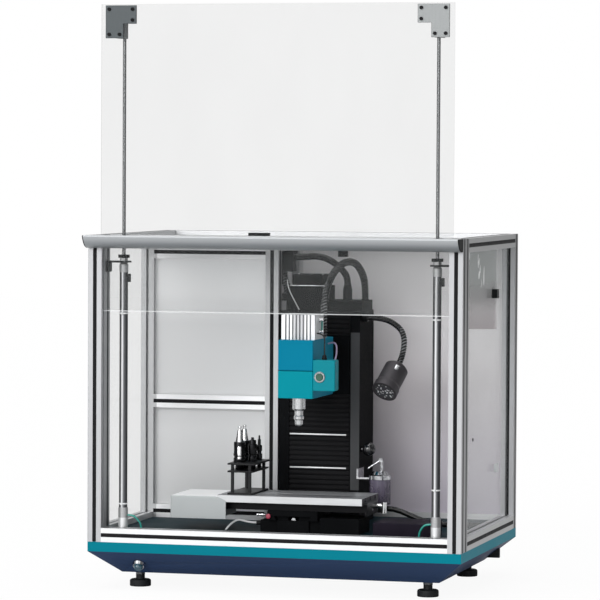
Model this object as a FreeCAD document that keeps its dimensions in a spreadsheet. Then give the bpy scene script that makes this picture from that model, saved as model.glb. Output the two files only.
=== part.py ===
import FreeCAD, Part
import math
import os
import Sketcher
from types import SimpleNamespace
from FreeCAD import Placement, Rotation, Vector

# A benchtop milling centre inside a slotted-bar enclosure with a lifting clear door, on a pan with feet.
# Sizes are in millimetres. X runs to the right, Y to the back and Z up. The origin lies on the floor,
# under the middle of the box that holds the machine with its door raised.
SIZES = {
    # slotted bar and the frame built from it
    "frame_width": 1100, "frame_depth": 770, "frame_height": 883,
    "bar_size": 40, "slot_mouth": 8, "slot_cavity": 17, "slot_lip": 4, "slot_depth": 11,
    "seat_gap": 0.3,
    # base pan, feet and floor tray
    "rim_height": 28, "skirt_height": 65, "skirt_inset": 80, "pan_wall": 4, "flange_width": 80,
    "foot_gap": 44, "foot_inset": 122, "pad_radius": 31, "pad_height": 22, "stud_radius": 7,
    "stud_rise": 10, "stud_gap": 0.5, "locknut_radius": 14, "locknut_height": 10,
    "tray_height": 24, "tray_wall": 3,
    # lit button on the skirt
    "button_from_left": 143, "button_drop": 34, "bezel_radius": 19, "bezel_height": 12,
    "button_radius": 13, "button_rise": 9, "button_gap": 0.3,
    # hood bar over the doorway
    "hood_reach": 60, "hood_height": 37, "hood_curve": 50, "hood_axis_back": 47, "hood_axis_rise": 13,
    "hood_cap": 3,
    # clear sheets and cabinet sheets
    "window_thickness": 4, "panel_thickness": 4, "cabinet_front": 507, "cabinet_width": 428,
    "midrail_height": 355,
    # lifting door
    "door_height": 880, "door_thickness": 5, "door_bottom": 664, "door_edge": 8,
    "bracket_width": 92, "bracket_height": 94, "bracket_arm": 53, "bracket_thickness": 6,
    "bracket_side_gap": 6, "bracket_top_gap": 4, "screw_radius": 5, "screw_head": 4,
    # door cylinders
    "cylinder_inset": 87.5, "cylinder_line": 62, "barrel_radius": 12, "barrel_bore": 10,
    "barrel_base": 96, "barrel_drop": 108, "foot_cap_radius": 14, "foot_nose_radius": 8,
    "foot_nose_length": 12, "head_cap_radius": 13, "head_cap_length": 28, "nose_length": 13,
    "nose_radius": 8, "rod_radius": 5, "rod_gap": 0.05, "piston_length": 20, "piston_drop": 15,
    "rod_block_width": 30, "rod_block_height": 50, "rod_socket": 30, "strap_length": 64,
    "strap_width": 40, "strap_thickness": 5, "strap_drop": 27, "nut_radius": 12, "nut_height": 8,
    "cap_seat": 0.3,
    # milling machine: base, saddle and table
    "mill_front": 190, "mill_back": 662, "mill_base_width": 200,
    "mill_base_height": 36, "way_width": 96, "way_height": 12, "way_flare": 7, "slide_gap": 0.3,
    "screw_channel": 30, "channel_depth": 22, "saddle_width": 150, "saddle_height": 16,
    "saddle_depth": 150,
    "table_front": 150, "table_depth": 200, "table_length": 431, "table_reach": 218,
    "table_thickness": 43, "table_edge": 20, "table_web": 96, "tslot_mouth": 8, "tslot_depth": 13,
    "tslot_cavity": 15, "tslot_lip": 6, "tslot_pitch": 60, "end_plate": 8,
    "feed_screw_radius": 6, "nut_block": 26, "feed_gap": 0.4,
    "drive_cover_length": 141, "drive_cover_height": 65, "drive_cover_drop": 4, "drive_cover_round": 4,
    "cover_lip": 3, "cover_flap": 26, "cover_notch": 13,
    "cock_radius": 7, "cock_reach": 22, "cock_height": 32, "drive_box_width": 118,
    "drive_box_depth": 128, "drive_box_height": 47,
    # column, bellows and Z drive
    "column_front": 480, "column_width": 245, "column_depth": 172, "column_headroom": 229,
    "column_clearance": 12.5, "column_flange": 30, "channel_back": 45, "column_foot_height": 30,
    "bellows_gap": 0.5, "bellows_depth": 12, "bellows_pitch": 14, "bellows_back": 4,
    "bellows_bar": 5, "z_screw_radius": 8, "z_screw_setback": 60,
    "z_motor_width": 120, "z_motor_depth": 118, "z_motor_height": 73, "z_motor_from_left": 12,
    "z_cap_width": 90, "z_cap_height": 34, "belt_box_height": 30, "belt_box_depth": 130,
    # head
    "head_width": 104, "head_drop": 242, "head_height": 169, "head_front": 200,
    "head_cover_thickness": 12, "head_casting_depth": 226, "cover_seam": 80, "seam_gap": 1.5,
    "carriage_height": 176, "carriage_thickness": 16, "carriage_side_gap": 1,
    "control_width": 66, "control_height": 90, "control_depth": 45, "control_rise": 23,
    "control_round": 5, "head_button_radius": 11, "head_ring_radius": 16, "head_ring_height": 4,
    "head_button_rise": 7, "motor_size": 100, "motor_height": 72, "fin_count": 8, "fin_depth": 6,
    "motor_setback": 30, "spindle_setback": 45, "nose_top_radius": 19.5, "nose_drop": 38,
    "chuck_radius": 15, "chuck_drop": 44, "tool_bore": 5, "bore_depth": 24, "spindle_gap": 0.3, "spindle_socket": 40,
    # lamp
    "lamp_arm_radius": 9, "lamp_radius": 36, "lamp_length": 102, "lamp_rim": 38.5, "lens_radius": 30,
    "lens_setback": 3, "lens_thickness": 4, "lamp_out": 237, "lamp_forward": 38, "lamp_drop": 160,
    "lamp_reach": 130, "lamp_bow": 44,
    # tool rack
    "rack_inset": 23, "rack_setback": 25, "rack_width": 76, "rack_depth": 175, "rack_plate": 5, "rack_leg": 8, "rack_shelf": 64,
    "rack_fork": 86, "rack_hole_gap": 0.5, "holder_radius": 18, "holder_length": 58,
    "taper_radius": 12, "taper_tip": 5, "taper_length": 46,
    # lubricator
    "jar_rise": 88, "jar_radius": 31, "jar_height": 74, "jar_wall": 3, "oiler_cap_radius": 33, "oiler_cap_height": 24,
    "lever_radius": 3.5, "lever_length": 46, "pump_rise": 40, "pump_radius": 5, "pin_radius": 2,
    # small parts
    "conduit_radius": 10, "hose_radius": 3, "knob_radius": 20, "knob_stem": 6,
    "floor_box_width": 170, "floor_box_depth": 145, "floor_box_height": 46, "floor_box_side": 110,
    "floor_box_front": 100, "air_line_reach": 90, "catch_size": 26, "catch_height": 700,
    "catch_back": 480, "roof_catch_side": 453, "roof_catch_back": 84, "roof_catch_length": 56,
    "header_catch_side": 725,
}

doc = FreeCAD.newDocument("MachiningCenter")
sheet = doc.addObject("Spreadsheet::Sheet", "Sizes")
for row, (size_name, size_value) in enumerate(SIZES.items(), start=1):
    sheet.set(f"A{row}", str(size_value))
    sheet.setAlias(f"A{row}", size_name)
doc.recompute()


class Size:
    """A length together with the spreadsheet formula that gives it."""

    def __init__(self, value, formula):
        self.value = float(value)
        self.formula = formula

    def joined(self, sign, other, value):
        return Size(value, f"({self.formula} {sign} {as_size(other).formula})")

    def __add__(self, other):
        return self.joined("+", other, self.value + as_size(other).value)

    def __radd__(self, other):
        return as_size(other) + self

    def __sub__(self, other):
        return self.joined("-", other, self.value - as_size(other).value)

    def __rsub__(self, other):
        return as_size(other) - self

    def __mul__(self, other):
        return self.joined("*", other, self.value * as_size(other).value)

    def __rmul__(self, other):
        return as_size(other) * self

    def __truediv__(self, other):
        return self.joined("/", other, self.value / as_size(other).value)

    def __neg__(self):
        return 0 - self


def as_size(item):
    """The item itself, or a plain number as a Size."""
    return item if isinstance(item, Size) else Size(item, repr(float(item)))


s = SimpleNamespace(**{name: Size(value, f"Sizes.{name}") for name, value in SIZES.items()})

# Reference planes of the enclosure.
left = s.frame_width * -0.5
right = s.frame_width * 0.5
front = (s.hood_reach - s.frame_depth) / 2
back = front + s.frame_depth
deck = s.foot_gap + s.skirt_height + s.rim_height
top = deck + s.frame_height
floor = deck + s.tray_height
post_depth = s.bar_size * 2
slot_line = s.bar_size / 2
slot_seat = s.slot_depth - s.seat_gap

# Ways to lay a section that is drawn in local X and Y and extruded along local Z.
UPRIGHT = Rotation()
ALONG_X = Rotation(Vector(0, 1, 0), Vector(0, 0, 1), Vector(1, 0, 0), "XYZ")
TO_FRONT = Rotation(Vector(1, 0, 0), Vector(0, 0, 1), Vector(0, -1, 0), "XYZ")
TO_LEFT = Rotation(Vector(0, -1, 0), Vector(0, 0, 1), Vector(-1, 0, 0), "XYZ")

nodes = []


def bind(part, **sizes):
    """Tie properties of a feature to the spreadsheet."""
    for name, size in sizes.items():
        part.setExpression(name, as_size(size).formula)
    return part


def place(part, at, turn=UPRIGHT):
    """Put a feature at a point, with the point tied to the spreadsheet."""
    part.Placement = Placement(Vector(*[as_size(c).value for c in at]), turn)
    for axis, coordinate in zip("xyz", at):
        part.setExpression(f"Placement.Base.{axis}", as_size(coordinate).formula)
    return part


def node(label, part):
    """Name a finished sub-part."""
    part.Label = label
    nodes.append(part)
    return part


def box(at, size):
    part = bind(doc.addObject("Part::Box", "Block"), Length=size[0], Width=size[1], Height=size[2])
    return place(part, at)


def centred_box(at, size):
    """A block on a point that is the middle of its bottom face."""
    return box((at[0] - size[0] / 2, at[1] - size[1] / 2, at[2]), size)


def cylinder(at, radius, height, turn=UPRIGHT):
    part = bind(doc.addObject("Part::Cylinder", "Round"), Radius=radius, Height=height)
    return place(part, at, turn)


def hexagon(at, radius, height, turn=UPRIGHT):
    part = doc.addObject("Part::Prism", "Hexagon")
    part.Polygon = 6
    return place(bind(part, Circumradius=radius, Height=height), at, turn)


def hollow_box(at, size, wall, depth):
    """A block open underneath."""
    inner = (size[0] - wall * 2, size[1] - wall * 2, depth)
    return cut(box(at, size), box((at[0] + wall, at[1] + wall, at[2]), inner))


def joined(kind, shapes):
    part = doc.addObject(f"Part::{kind}", kind)
    part.Shapes = list(shapes)
    return part


def fuse(*shapes):
    return joined("MultiFuse", shapes)


def cut(base, *tools):
    part = doc.addObject("Part::Cut", "Cut")
    part.Base = base
    part.Tool = tools[0] if len(tools) == 1 else fuse(*tools)
    return part


def group(*parts):
    """Separate like pieces that share one sub-part."""
    part = doc.addObject("Part::Compound", "Group")
    part.Links = list(parts)
    return part


def outline(sketch, corners):
    """Draw a closed outline whose corners are tied to the spreadsheet."""
    count = len(corners)
    spots = [Vector(as_size(x).value, as_size(y).value, 0) for x, y in corners]
    sketch.addGeometry([Part.LineSegment(spots[i], spots[(i + 1) % count]) for i in range(count)])
    rules = [Sketcher.Constraint("Coincident", i, 2, (i + 1) % count, 1) for i in range(count)]
    formulas = []
    for index, corner in enumerate(corners):
        for kind, coordinate in zip(("DistanceX", "DistanceY"), corner):
            size = as_size(coordinate)
            formulas.append((len(rules), size.formula))
            rules.append(Sketcher.Constraint(kind, -1, 1, index, 1, size.value))
    sketch.addConstraint(rules)
    for rule, formula in formulas:
        sketch.setExpression(f"Constraints[{rule}]", formula)


def plane_sketch(body, role):
    sketch = body.newObject("Sketcher::SketchObject", "Sketch")
    plane = [item for item in body.Origin.OriginFeatures if item.Role == role][0]
    sketch.AttachmentSupport = [(plane, "")]
    sketch.MapMode = "FlatFace"
    return sketch


def extruded(corners, length, at, turn=UPRIGHT):
    """A piece of constant section."""
    body = doc.addObject("PartDesign::Body", "Section")
    sketch = plane_sketch(body, "XY_Plane")
    outline(sketch, corners)
    pad = body.newObject("PartDesign::Pad", "Pad")
    pad.Profile = sketch
    bind(pad, Length=length)
    return place(body, at, turn)


def turned(corners, at, turn=UPRIGHT):
    """A piece turned about its local Z, from (radius, height) corners."""
    body = doc.addObject("PartDesign::Body", "Turned")
    sketch = plane_sketch(body, "XZ_Plane")
    outline(sketch, corners)
    spin = body.newObject("PartDesign::Revolution", "Revolution")
    spin.Profile = sketch
    spin.ReferenceAxis = (sketch, ["V_Axis"])
    spin.Angle = 360
    return place(body, at, turn)


def rounded(body, radius, chosen):
    """Round the edges of a body that the test picks by direction and middle."""
    doc.recompute()
    solid = body.Tip
    names = []
    for index, edge in enumerate(solid.Shape.Edges, start=1):
        ends = edge.Vertexes
        if len(ends) == 2 and chosen(ends[1].Point - ends[0].Point, edge.CenterOfMass):
            names.append(f"Edge{index}")
    fillet = body.newObject("PartDesign::Fillet", "Fillet")
    fillet.Base = (solid, names)
    bind(fillet, Radius=radius)
    return body


def tube_route(points):
    """Straight runs joined by tangent arcs, each as large as its two runs allow."""
    spots = [Vector(*[as_size(c).value for c in point]) for point in points]
    edges = []
    radii = []
    start = spots[0]
    for before, corner, after in zip(spots, spots[1:], spots[2:]):
        back_way = before - corner
        on_way = after - corner
        trim = 0.45 * min(back_way.Length, on_way.Length)
        half_turn = (math.pi - back_way.getAngle(on_way)) / 2
        radius = trim / math.tan(half_turn)
        back_way.normalize()
        on_way.normalize()
        bisector = (back_way + on_way).normalize()
        arc_start = corner + back_way * trim
        arc_end = corner + on_way * trim
        arc_middle = corner + bisector * (math.hypot(trim, radius) - radius)
        edges.append(Part.LineSegment(start, arc_start).toShape())
        edges.append(Part.Arc(arc_start, arc_middle, arc_end).toShape())
        radii.append(radius)
        start = arc_end
    edges.append(Part.LineSegment(start, spots[-1]).toShape())
    return edges, radii


def hose(name, points, radius):
    """A plain tube along a route of runs and arcs."""
    edges, radii = tube_route(points)
    path = Part.Wire(edges)
    first = edges[0]
    direction = first.Vertexes[1].Point - first.Vertexes[0].Point
    ring = Part.makeCircle(radius.value, first.Vertexes[0].Point, direction)
    solid = path.makePipeShell([Part.Wire([ring])], True, False)
    share = solid.Volume / (math.pi * radius.value ** 2 * path.Length)
    print(f"{name}: length {path.Length:.0f}, least radius {min(radii):.0f}, volume share {share:.3f}")
    part = doc.addObject("Part::Feature", "Hose")
    part.Shape = solid
    return part


def ribbed_hose(name, points, radius, rib_depth, pitch, wall):
    """A corrugated conduit with its bore: a ruled skin through four rings for each rib."""
    edges, radii = tube_route(points)
    path = Part.Wire(edges)
    ribs = int(path.Length / pitch)
    spacing = path.Length / ribs
    stations = [(0.0, radius)]
    for rib in range(1, ribs):
        middle = rib * spacing
        stations.append((middle - pitch * 0.35, radius))
        stations.append((middle - pitch * 0.2, radius + rib_depth))
        stations.append((middle + pitch * 0.2, radius + rib_depth))
        stations.append((middle + pitch * 0.35, radius))
    stations.append((path.Length, radius))
    seam = (edges[-1].Vertexes[1].Point - edges[0].Vertexes[0].Point).cross(Vector(0, 0, 1)).normalize()
    skin = Part.makeLoft([route_ring(edges, far, size, seam) for far, size in stations], True, True)
    ring = Part.makeCircle(radius - wall, edges[0].Vertexes[0].Point, edges[0].tangentAt(0))
    solid = skin.cut(path.makePipeShell([Part.Wire([ring])], True, False))
    share = skin.Volume / (math.pi * (radius + rib_depth * 0.45) ** 2 * path.Length)
    print(f"{name}: length {path.Length:.0f}, least radius {min(radii):.0f}, ribs {ribs}, "
          f"volume share {share:.3f}")
    part = doc.addObject("Part::Feature", "Conduit")
    part.Shape = solid
    return part


def route_ring(edges, distance, radius, seam):
    """A round wire square to the route, with its seam on a steady side."""
    for edge in edges:
        if distance <= edge.Length + 1e-6:
            break
        distance -= edge.Length
    spot_on = edge.getParameterByLength(min(distance, edge.Length))
    along = edge.tangentAt(spot_on)
    side = (seam - along * seam.dot(along)).normalize()
    ring = Part.makeCircle(radius, Vector(0, 0, 0), Vector(0, 0, 1))
    ring.Placement = Placement(edge.valueAt(spot_on), Rotation(side, along.cross(side), along, "ZXY"))
    return Part.Wire([ring])


# --- Slotted bar -----------------------------------------------------------------------------------
# Two extruded aluminium sections, 40 x 40 and 40 x 80, with an undercut slot every 40 mm of face.


def side_slots(middles):
    """Corners of the slots along one face: how far along it, and how deep into it."""
    corners = []
    for middle in middles:
        for away, depth in (
            (-s.slot_mouth / 2, 0),
            (-s.slot_mouth / 2, s.slot_lip),
            (-s.slot_cavity / 2, s.slot_lip),
            (-s.slot_cavity / 4, s.slot_depth),
            (s.slot_cavity / 4, s.slot_depth),
            (s.slot_cavity / 2, s.slot_lip),
            (s.slot_mouth / 2, s.slot_lip),
            (s.slot_mouth / 2, 0),
        ):
            corners.append((middle + away, depth))
    return corners


def bar_section(name, width, depth, across, down):
    """One section, from its near corner; across and down give the slot middles of its faces."""
    sketch = doc.addObject("Sketcher::SketchObject", name)
    corners = [(0, 0)] + [(a, d) for a, d in side_slots(across)]
    corners += [(width, 0)] + [(width - d, a) for a, d in side_slots(down)]
    corners += [(width, depth)] + [(a, depth - d) for a, d in reversed(side_slots(across))]
    corners += [(0, depth)] + [(d, a) for a, d in reversed(side_slots(down))]
    outline(sketch, corners)
    return sketch


square_bar = bar_section("SquareBar", s.bar_size, s.bar_size, [slot_line], [slot_line])
deep_bar = bar_section("DeepBar", s.bar_size, post_depth, [slot_line], [slot_line, slot_line * 3])


def bar(section, at, length, turn=UPRIGHT):
    part = doc.addObject("Part::Extrusion", "Bar")
    part.Base = section
    part.DirMode = "Custom"
    part.Dir = Vector(0, 0, 1)
    part.Solid = True
    bind(part, LengthFwd=length)
    return place(part, at, turn)


def upright(at, length):
    return bar(square_bar, at, length)


def crossbar(at, length):
    """A bar that runs to the right."""
    return bar(square_bar, at, length, ALONG_X)


def side_bar(at, length):
    """A bar that runs to the back, given by its front end."""
    return bar(square_bar, (at[0], at[1] + length, at[2]), length, TO_FRONT)


inner_left = left + s.bar_size
inner_right = right - s.bar_size
clear_width = s.frame_width - s.bar_size * 2
side_start = front + post_depth
side_length = s.frame_depth - post_depth - s.bar_size
rear_line = back - s.bar_size
under_top = top - s.bar_size
cabinet = front + s.cabinet_front
cabinet_right = left + s.cabinet_width
cabinet_post = cabinet_right - s.bar_size
cabinet_span = s.cabinet_width - s.bar_size * 2
cabinet_back_start = cabinet + s.bar_size
cabinet_depth = back - cabinet_back_start - s.bar_size
inner_floor = deck + s.bar_size

node("front_posts", group(
    bar(deep_bar, (left, front, deck), s.frame_height),
    bar(deep_bar, (inner_right, front, deck), s.frame_height)))
node("rear_posts", group(
    upright((left, rear_line, deck), s.frame_height),
    upright((inner_right, rear_line, deck), s.frame_height),
    upright((cabinet_post, rear_line, inner_floor), s.frame_height - s.bar_size * 2)))
node("bottom_rails", group(
    crossbar((inner_left, front, deck), clear_width),
    crossbar((inner_left, rear_line, deck), clear_width),
    side_bar((left, side_start, deck), side_length),
    side_bar((inner_right, side_start, deck), side_length)))
node("top_rails", group(
    crossbar((inner_left, side_start, under_top), clear_width),
    crossbar((inner_left, rear_line, under_top), clear_width),
    side_bar((left, side_start, under_top), side_length),
    side_bar((inner_right, side_start, under_top), side_length)))

# The cabinet in the rear left corner has its own posts and rails, under the roof sheet.
cabinet_ceiling = under_top - s.bar_size
node("partition_frame", group(
    upright((left, cabinet, inner_floor), s.frame_height - s.bar_size * 2),
    upright((cabinet_post, cabinet, floor), under_top - floor),
    crossbar((inner_left, cabinet, floor), cabinet_span),
    crossbar((inner_left, cabinet, deck + s.midrail_height), cabinet_span),
    crossbar((inner_left, cabinet, cabinet_ceiling), cabinet_span),
    side_bar((cabinet_post, cabinet_back_start, floor), cabinet_depth),
    side_bar((cabinet_post, cabinet_back_start, cabinet_ceiling), cabinet_depth)))

# --- Sheets held in the slots ------------------------------------------------------------------------


def sheet_in_slots(low, high, thickness, flat_axis):
    """A sheet whose edges reach down into the slots on all sides of an opening."""
    at = []
    size = []
    for axis in range(3):
        if axis == flat_axis:
            at.append(low[axis] - thickness / 2)
            size.append(thickness)
        else:
            at.append(low[axis] - slot_seat)
            size.append(high[axis] - low[axis] + slot_seat * 2)
    return box(at, size)


cabinet_line = cabinet + slot_line
rear_sheet_line = back - slot_line
left_line = left + slot_line
right_line = right - slot_line
floor_rail_top = floor + s.bar_size
midrail = deck + s.midrail_height
node("partition_panels", group(
    sheet_in_slots((inner_left, cabinet_line, floor_rail_top), (cabinet_post, cabinet_line, midrail),
                   s.panel_thickness, 1),
    sheet_in_slots((inner_left, cabinet_line, midrail + s.bar_size),
                   (cabinet_post, cabinet_line, cabinet_ceiling), s.panel_thickness, 1)))
node("cabinet_panels", group(
    sheet_in_slots((left_line, cabinet_back_start, inner_floor), (left_line, rear_line, under_top),
                   s.panel_thickness, 0),
    sheet_in_slots((cabinet_post + slot_line, cabinet_back_start, floor_rail_top),
                   (cabinet_post + slot_line, rear_line, cabinet_ceiling), s.panel_thickness, 0),
    sheet_in_slots((inner_left, rear_sheet_line, inner_floor), (cabinet_post, rear_sheet_line, under_top),
                   s.panel_thickness, 1),
    sheet_in_slots((cabinet_right, rear_sheet_line, inner_floor),
                   (inner_right, rear_sheet_line, under_top), s.panel_thickness, 1)))
node("side_windows", group(
    sheet_in_slots((left_line, side_start, inner_floor), (left_line, cabinet, under_top),
                   s.window_thickness, 0),
    sheet_in_slots((right_line, side_start, inner_floor), (right_line, rear_line, under_top),
                   s.window_thickness, 0)))
roof_line = top - slot_line
roof = sheet_in_slots((inner_left, side_start + s.bar_size, roof_line),
                      (inner_right, rear_line, roof_line), s.window_thickness, 2)
node("roof_sheet", cut(roof, *[box((x, rear_line, under_top), (s.bar_size, s.bar_size, s.bar_size))
                               for x in (left, inner_right)]))

# --- Base pan ----------------------------------------------------------------------------------------
# Folded sheet steel: a deck and upright rim, a skirt that slopes in all round, and a flange for the feet.
SKIRT_DOWN = Rotation(Vector(1, 0, 0), -90)
rim_bottom = deck - s.rim_height


def skirt(inset, height):
    """The sloping part of the pan, drawn in from the frame by the wall."""
    part = doc.addObject("Part::Wedge", "Skirt")
    slope = s.skirt_inset
    bind(part, Xmin=inset, Xmax=s.frame_width - inset, Zmin=inset, Zmax=s.frame_depth - inset,
         X2min=slope, X2max=s.frame_width - slope, Z2min=slope, Z2max=s.frame_depth - slope,
         Ymin=0, Ymax=height)
    return place(part, (left, front, rim_bottom), SKIRT_DOWN)


pan_outer = fuse(box((left, front, rim_bottom), (s.frame_width, s.frame_depth, s.rim_height)),
                 skirt(as_size(0), s.skirt_height))
pan_inner = box((left + s.pan_wall, front + s.pan_wall, rim_bottom),
                (s.frame_width - s.pan_wall * 2, s.frame_depth - s.pan_wall * 2,
                 s.rim_height - s.pan_wall))
opening_inset = s.skirt_inset + s.flange_width
pan_opening = box((left + opening_inset, front + opening_inset, s.foot_gap),
                  (s.frame_width - opening_inset * 2, s.frame_depth - opening_inset * 2, s.skirt_height))
foot_spots = [(x, y) for x in (left + s.foot_inset, right - s.foot_inset)
              for y in (front + s.foot_inset, back - s.foot_inset)]
foot_holes = [cylinder((x, y, s.foot_gap), s.stud_radius + s.stud_gap, s.pan_wall * 2)
              for x, y in foot_spots]

# The lit button sits square to the sloping front of the skirt.
slope_angle = math.degrees(math.atan2(SIZES["skirt_inset"], SIZES["skirt_height"]))
BUTTON_TURN = Rotation(Vector(1, 0, 0), 90 + slope_angle)
skirt_slope = s.skirt_inset / s.skirt_height
button_at = (left + s.button_from_left, front + s.button_drop * skirt_slope, rim_bottom - s.button_drop)
button_hole = cylinder(button_at, s.button_radius + s.button_gap, s.pan_wall * 4,
                       Rotation(Vector(1, 0, 0), slope_angle - 90))
node("base_pan", cut(pan_outer, pan_inner, skirt(s.pan_wall, s.skirt_height - s.pan_wall),
                     pan_opening, button_hole, *foot_holes))

bezel_lip = s.bezel_height * 0.35
node("main_button_bezel", turned([
    (s.button_radius + s.button_gap, 0), (s.bezel_radius, 0), (s.bezel_radius, bezel_lip),
    (s.bezel_radius - s.button_gap * 8, s.bezel_height),
    (s.button_radius + s.button_gap, s.bezel_height)], button_at, BUTTON_TURN))
button_top = s.bezel_height + s.button_rise
node("main_button", turned([
    (0, 0), (s.button_radius, 0), (s.button_radius, button_top * 0.8),
    (s.button_radius * 0.8, button_top), (0, button_top)], button_at, BUTTON_TURN))

# --- Levelling feet ----------------------------------------------------------------------------------
foot_pads = []
foot_studs = []
for x, y in foot_spots:
    foot_pads.append(turned([
        (0, 0), (s.pad_radius, 0), (s.pad_radius, s.pad_height * 0.35),
        (s.stud_radius * 2, s.pad_height * 0.75), (s.stud_radius * 2, s.pad_height),
        (0, s.pad_height)], (x, y, 0)))
    foot_studs.append(fuse(
        cylinder((x, y, s.pad_height), s.stud_radius, s.foot_gap + s.stud_rise - s.pad_height),
        hexagon((x, y, s.foot_gap - s.locknut_height), s.locknut_radius, s.locknut_height)))
node("foot_pads", group(*foot_pads))
node("foot_studs", group(*foot_studs))

# --- Floor tray --------------------------------------------------------------------------------------
node("floor_tray", hollow_box((inner_left, front + s.bar_size, deck),
                              (clear_width, s.frame_depth - s.bar_size * 2, s.tray_height),
                              s.tray_wall, s.tray_height - s.tray_wall))

# --- Hood bar over the doorway -----------------------------------------------------------------------
# An extrusion with a convex front, closed by a moulded cap at each end.


def hood_slice(start, length):
    block = box((start, front - s.hood_reach, top - s.hood_height), (length, s.hood_reach, s.hood_height))
    curve = cylinder((start, front - s.hood_reach + s.hood_axis_back, top + s.hood_axis_rise),
                     s.hood_curve, length, ALONG_X)
    part = doc.addObject("Part::Common", "HoodSlice")
    part.Base = block
    part.Tool = curve
    return part


node("hood_bar", hood_slice(left + s.hood_cap, s.frame_width - s.hood_cap * 2))
node("hood_end_caps", group(hood_slice(left, s.hood_cap), hood_slice(right - s.hood_cap, s.hood_cap)))

# --- Lifting door ------------------------------------------------------------------------------------
# One clear sheet that runs in the front slots of the posts and hangs from two corner brackets.
door_line = front + slot_line
door_front = door_line - s.door_thickness / 2
door_back = door_line + s.door_thickness / 2
door_base = deck + s.door_bottom
door_top = door_base + s.door_height
node("door_sheet", box((inner_left - s.door_edge, door_front, door_base),
                       (clear_width + s.door_edge * 2, s.door_thickness, s.door_height)))

bracket_top = door_top - s.bracket_top_gap
bracket_base = bracket_top - s.bracket_height
SIDES = ((left, 1), (right, -1))


def corner_bracket(edge, side):
    """An L plate against the front of the door, its corner at the door's upper corner."""
    outer = edge + side * (s.bar_size + s.bracket_side_gap)
    corners = [(0, 0), (side * s.bracket_arm, 0), (side * s.bracket_arm, s.bracket_height - s.bracket_arm),
               (side * s.bracket_width, s.bracket_height - s.bracket_arm),
               (side * s.bracket_width, s.bracket_height), (0, s.bracket_height)]
    return extruded(corners, s.bracket_thickness, (outer, door_front, bracket_base), TO_FRONT)


def bracket_screws(edge, side):
    outer = edge + side * (s.bar_size + s.bracket_side_gap)
    inset = s.screw_radius * 2.2
    spots = [(inset, s.bracket_height - inset), (s.bracket_width - inset, s.bracket_height - inset),
             (s.bracket_width - inset, s.bracket_height - s.bracket_arm + inset),
             (inset, inset), (s.bracket_arm - inset, inset)]
    face = door_front - s.bracket_thickness
    return [cylinder((outer + side * x, face, bracket_base + z), s.screw_radius, s.screw_head, TO_FRONT)
            for x, z in spots]


node("corner_brackets", group(*[corner_bracket(edge, side) for edge, side in SIDES]))
node("bracket_screws", group(*[screw for edge, side in SIDES for screw in bracket_screws(edge, side)]))

rod_line = front + s.cylinder_line
rod_spots = [edge + side * s.cylinder_inset for edge, side in SIDES]
block_depth = s.cylinder_line - slot_line - s.door_thickness / 2 + s.rod_block_width / 2
rod_blocks = []
for x in rod_spots:
    block = box((x - s.rod_block_width / 2, door_back, bracket_base),
                (s.rod_block_width, block_depth, s.rod_block_height))
    rod_blocks.append(cut(block, cylinder((x, rod_line, bracket_base), s.rod_radius + s.rod_gap,
                                          s.rod_socket)))
node("rod_blocks", group(*rod_blocks))

# --- Door cylinders ----------------------------------------------------------------------------------
barrel_base = deck + s.barrel_base
barrel_top = top - s.barrel_drop
barrel_length = barrel_top - barrel_base
piston_base = barrel_top - s.piston_drop - s.piston_length
strap_base = barrel_top + s.head_cap_length
rods = []
barrels = []
caps = []
straps = []
for (edge, side), x in zip(SIDES, rod_spots):
    rods.append(fuse(
        cylinder((x, rod_line, piston_base), s.barrel_bore - s.rod_gap, s.piston_length),
        cylinder((x, rod_line, piston_base + s.piston_length), s.rod_radius,
                 bracket_base + s.rod_socket - piston_base - s.piston_length)))
    barrels.append(cut(cylinder((x, rod_line, barrel_base), s.barrel_radius, barrel_length),
                       cylinder((x, rod_line, barrel_base), s.barrel_bore, barrel_length)))
    cap_height = barrel_base - floor - s.foot_nose_length
    caps.append(turned([
        (0, 0), (s.foot_nose_radius, 0), (s.foot_nose_radius, s.foot_nose_length),
        (s.foot_cap_radius, s.foot_nose_length), (s.foot_cap_radius, s.foot_nose_length + cap_height),
        (0, s.foot_nose_length + cap_height)], (x, rod_line, floor)))
    rod_bore = s.rod_radius + s.rod_gap
    caps.append(fuse(turned([
        (rod_bore, 0), (s.head_cap_radius, 0), (s.head_cap_radius, s.head_cap_length * 0.8),
        (s.nose_radius + 1, s.head_cap_length), (s.nose_radius, s.head_cap_length),
        (s.nose_radius, s.head_cap_length + s.nose_length), (rod_bore, s.head_cap_length + s.nose_length)],
        (x, rod_line, barrel_top)),
        cut(hexagon((x, rod_line, strap_base + s.strap_thickness), s.nut_radius, s.nut_height),
            cylinder((x, rod_line, strap_base), s.nose_radius * 0.9, s.nut_height * 4))))
    inner_face = edge + side * s.bar_size
    strap = extruded([
        (0, -s.strap_drop), (side * s.strap_thickness, -s.strap_drop), (side * s.strap_thickness, 0),
        (side * s.strap_length, 0), (side * s.strap_length, s.strap_thickness), (0, s.strap_thickness)],
        s.strap_width, (inner_face, rod_line + s.strap_width / 2, strap_base), TO_FRONT)
    straps.append(cut(strap, cylinder((x, rod_line, strap_base), s.nose_radius + s.cap_seat,
                                      s.strap_thickness * 2)))
node("piston_rods", group(*rods))
node("cylinder_barrels", group(*barrels))
node("cylinder_caps", group(*caps))
node("cylinder_straps", group(*straps))

# Thin air hoses run from the foot caps down to the tray.
port_height = deck + 74


def cap_hose(name, x, side, reach, rear, drop):
    start = x + side * s.foot_cap_radius
    y = rod_line
    return hose(name, [
        (start, y, port_height), (start + side * 15, y, port_height),
        (start + side * (15 + reach * 0.5), y + rear * 0.4, port_height - drop * 0.2),
        (start + side * (15 + reach), y + rear, port_height - drop * 0.55),
        (start + side * (15 + reach), y + rear, floor)], s.hose_radius)


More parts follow.
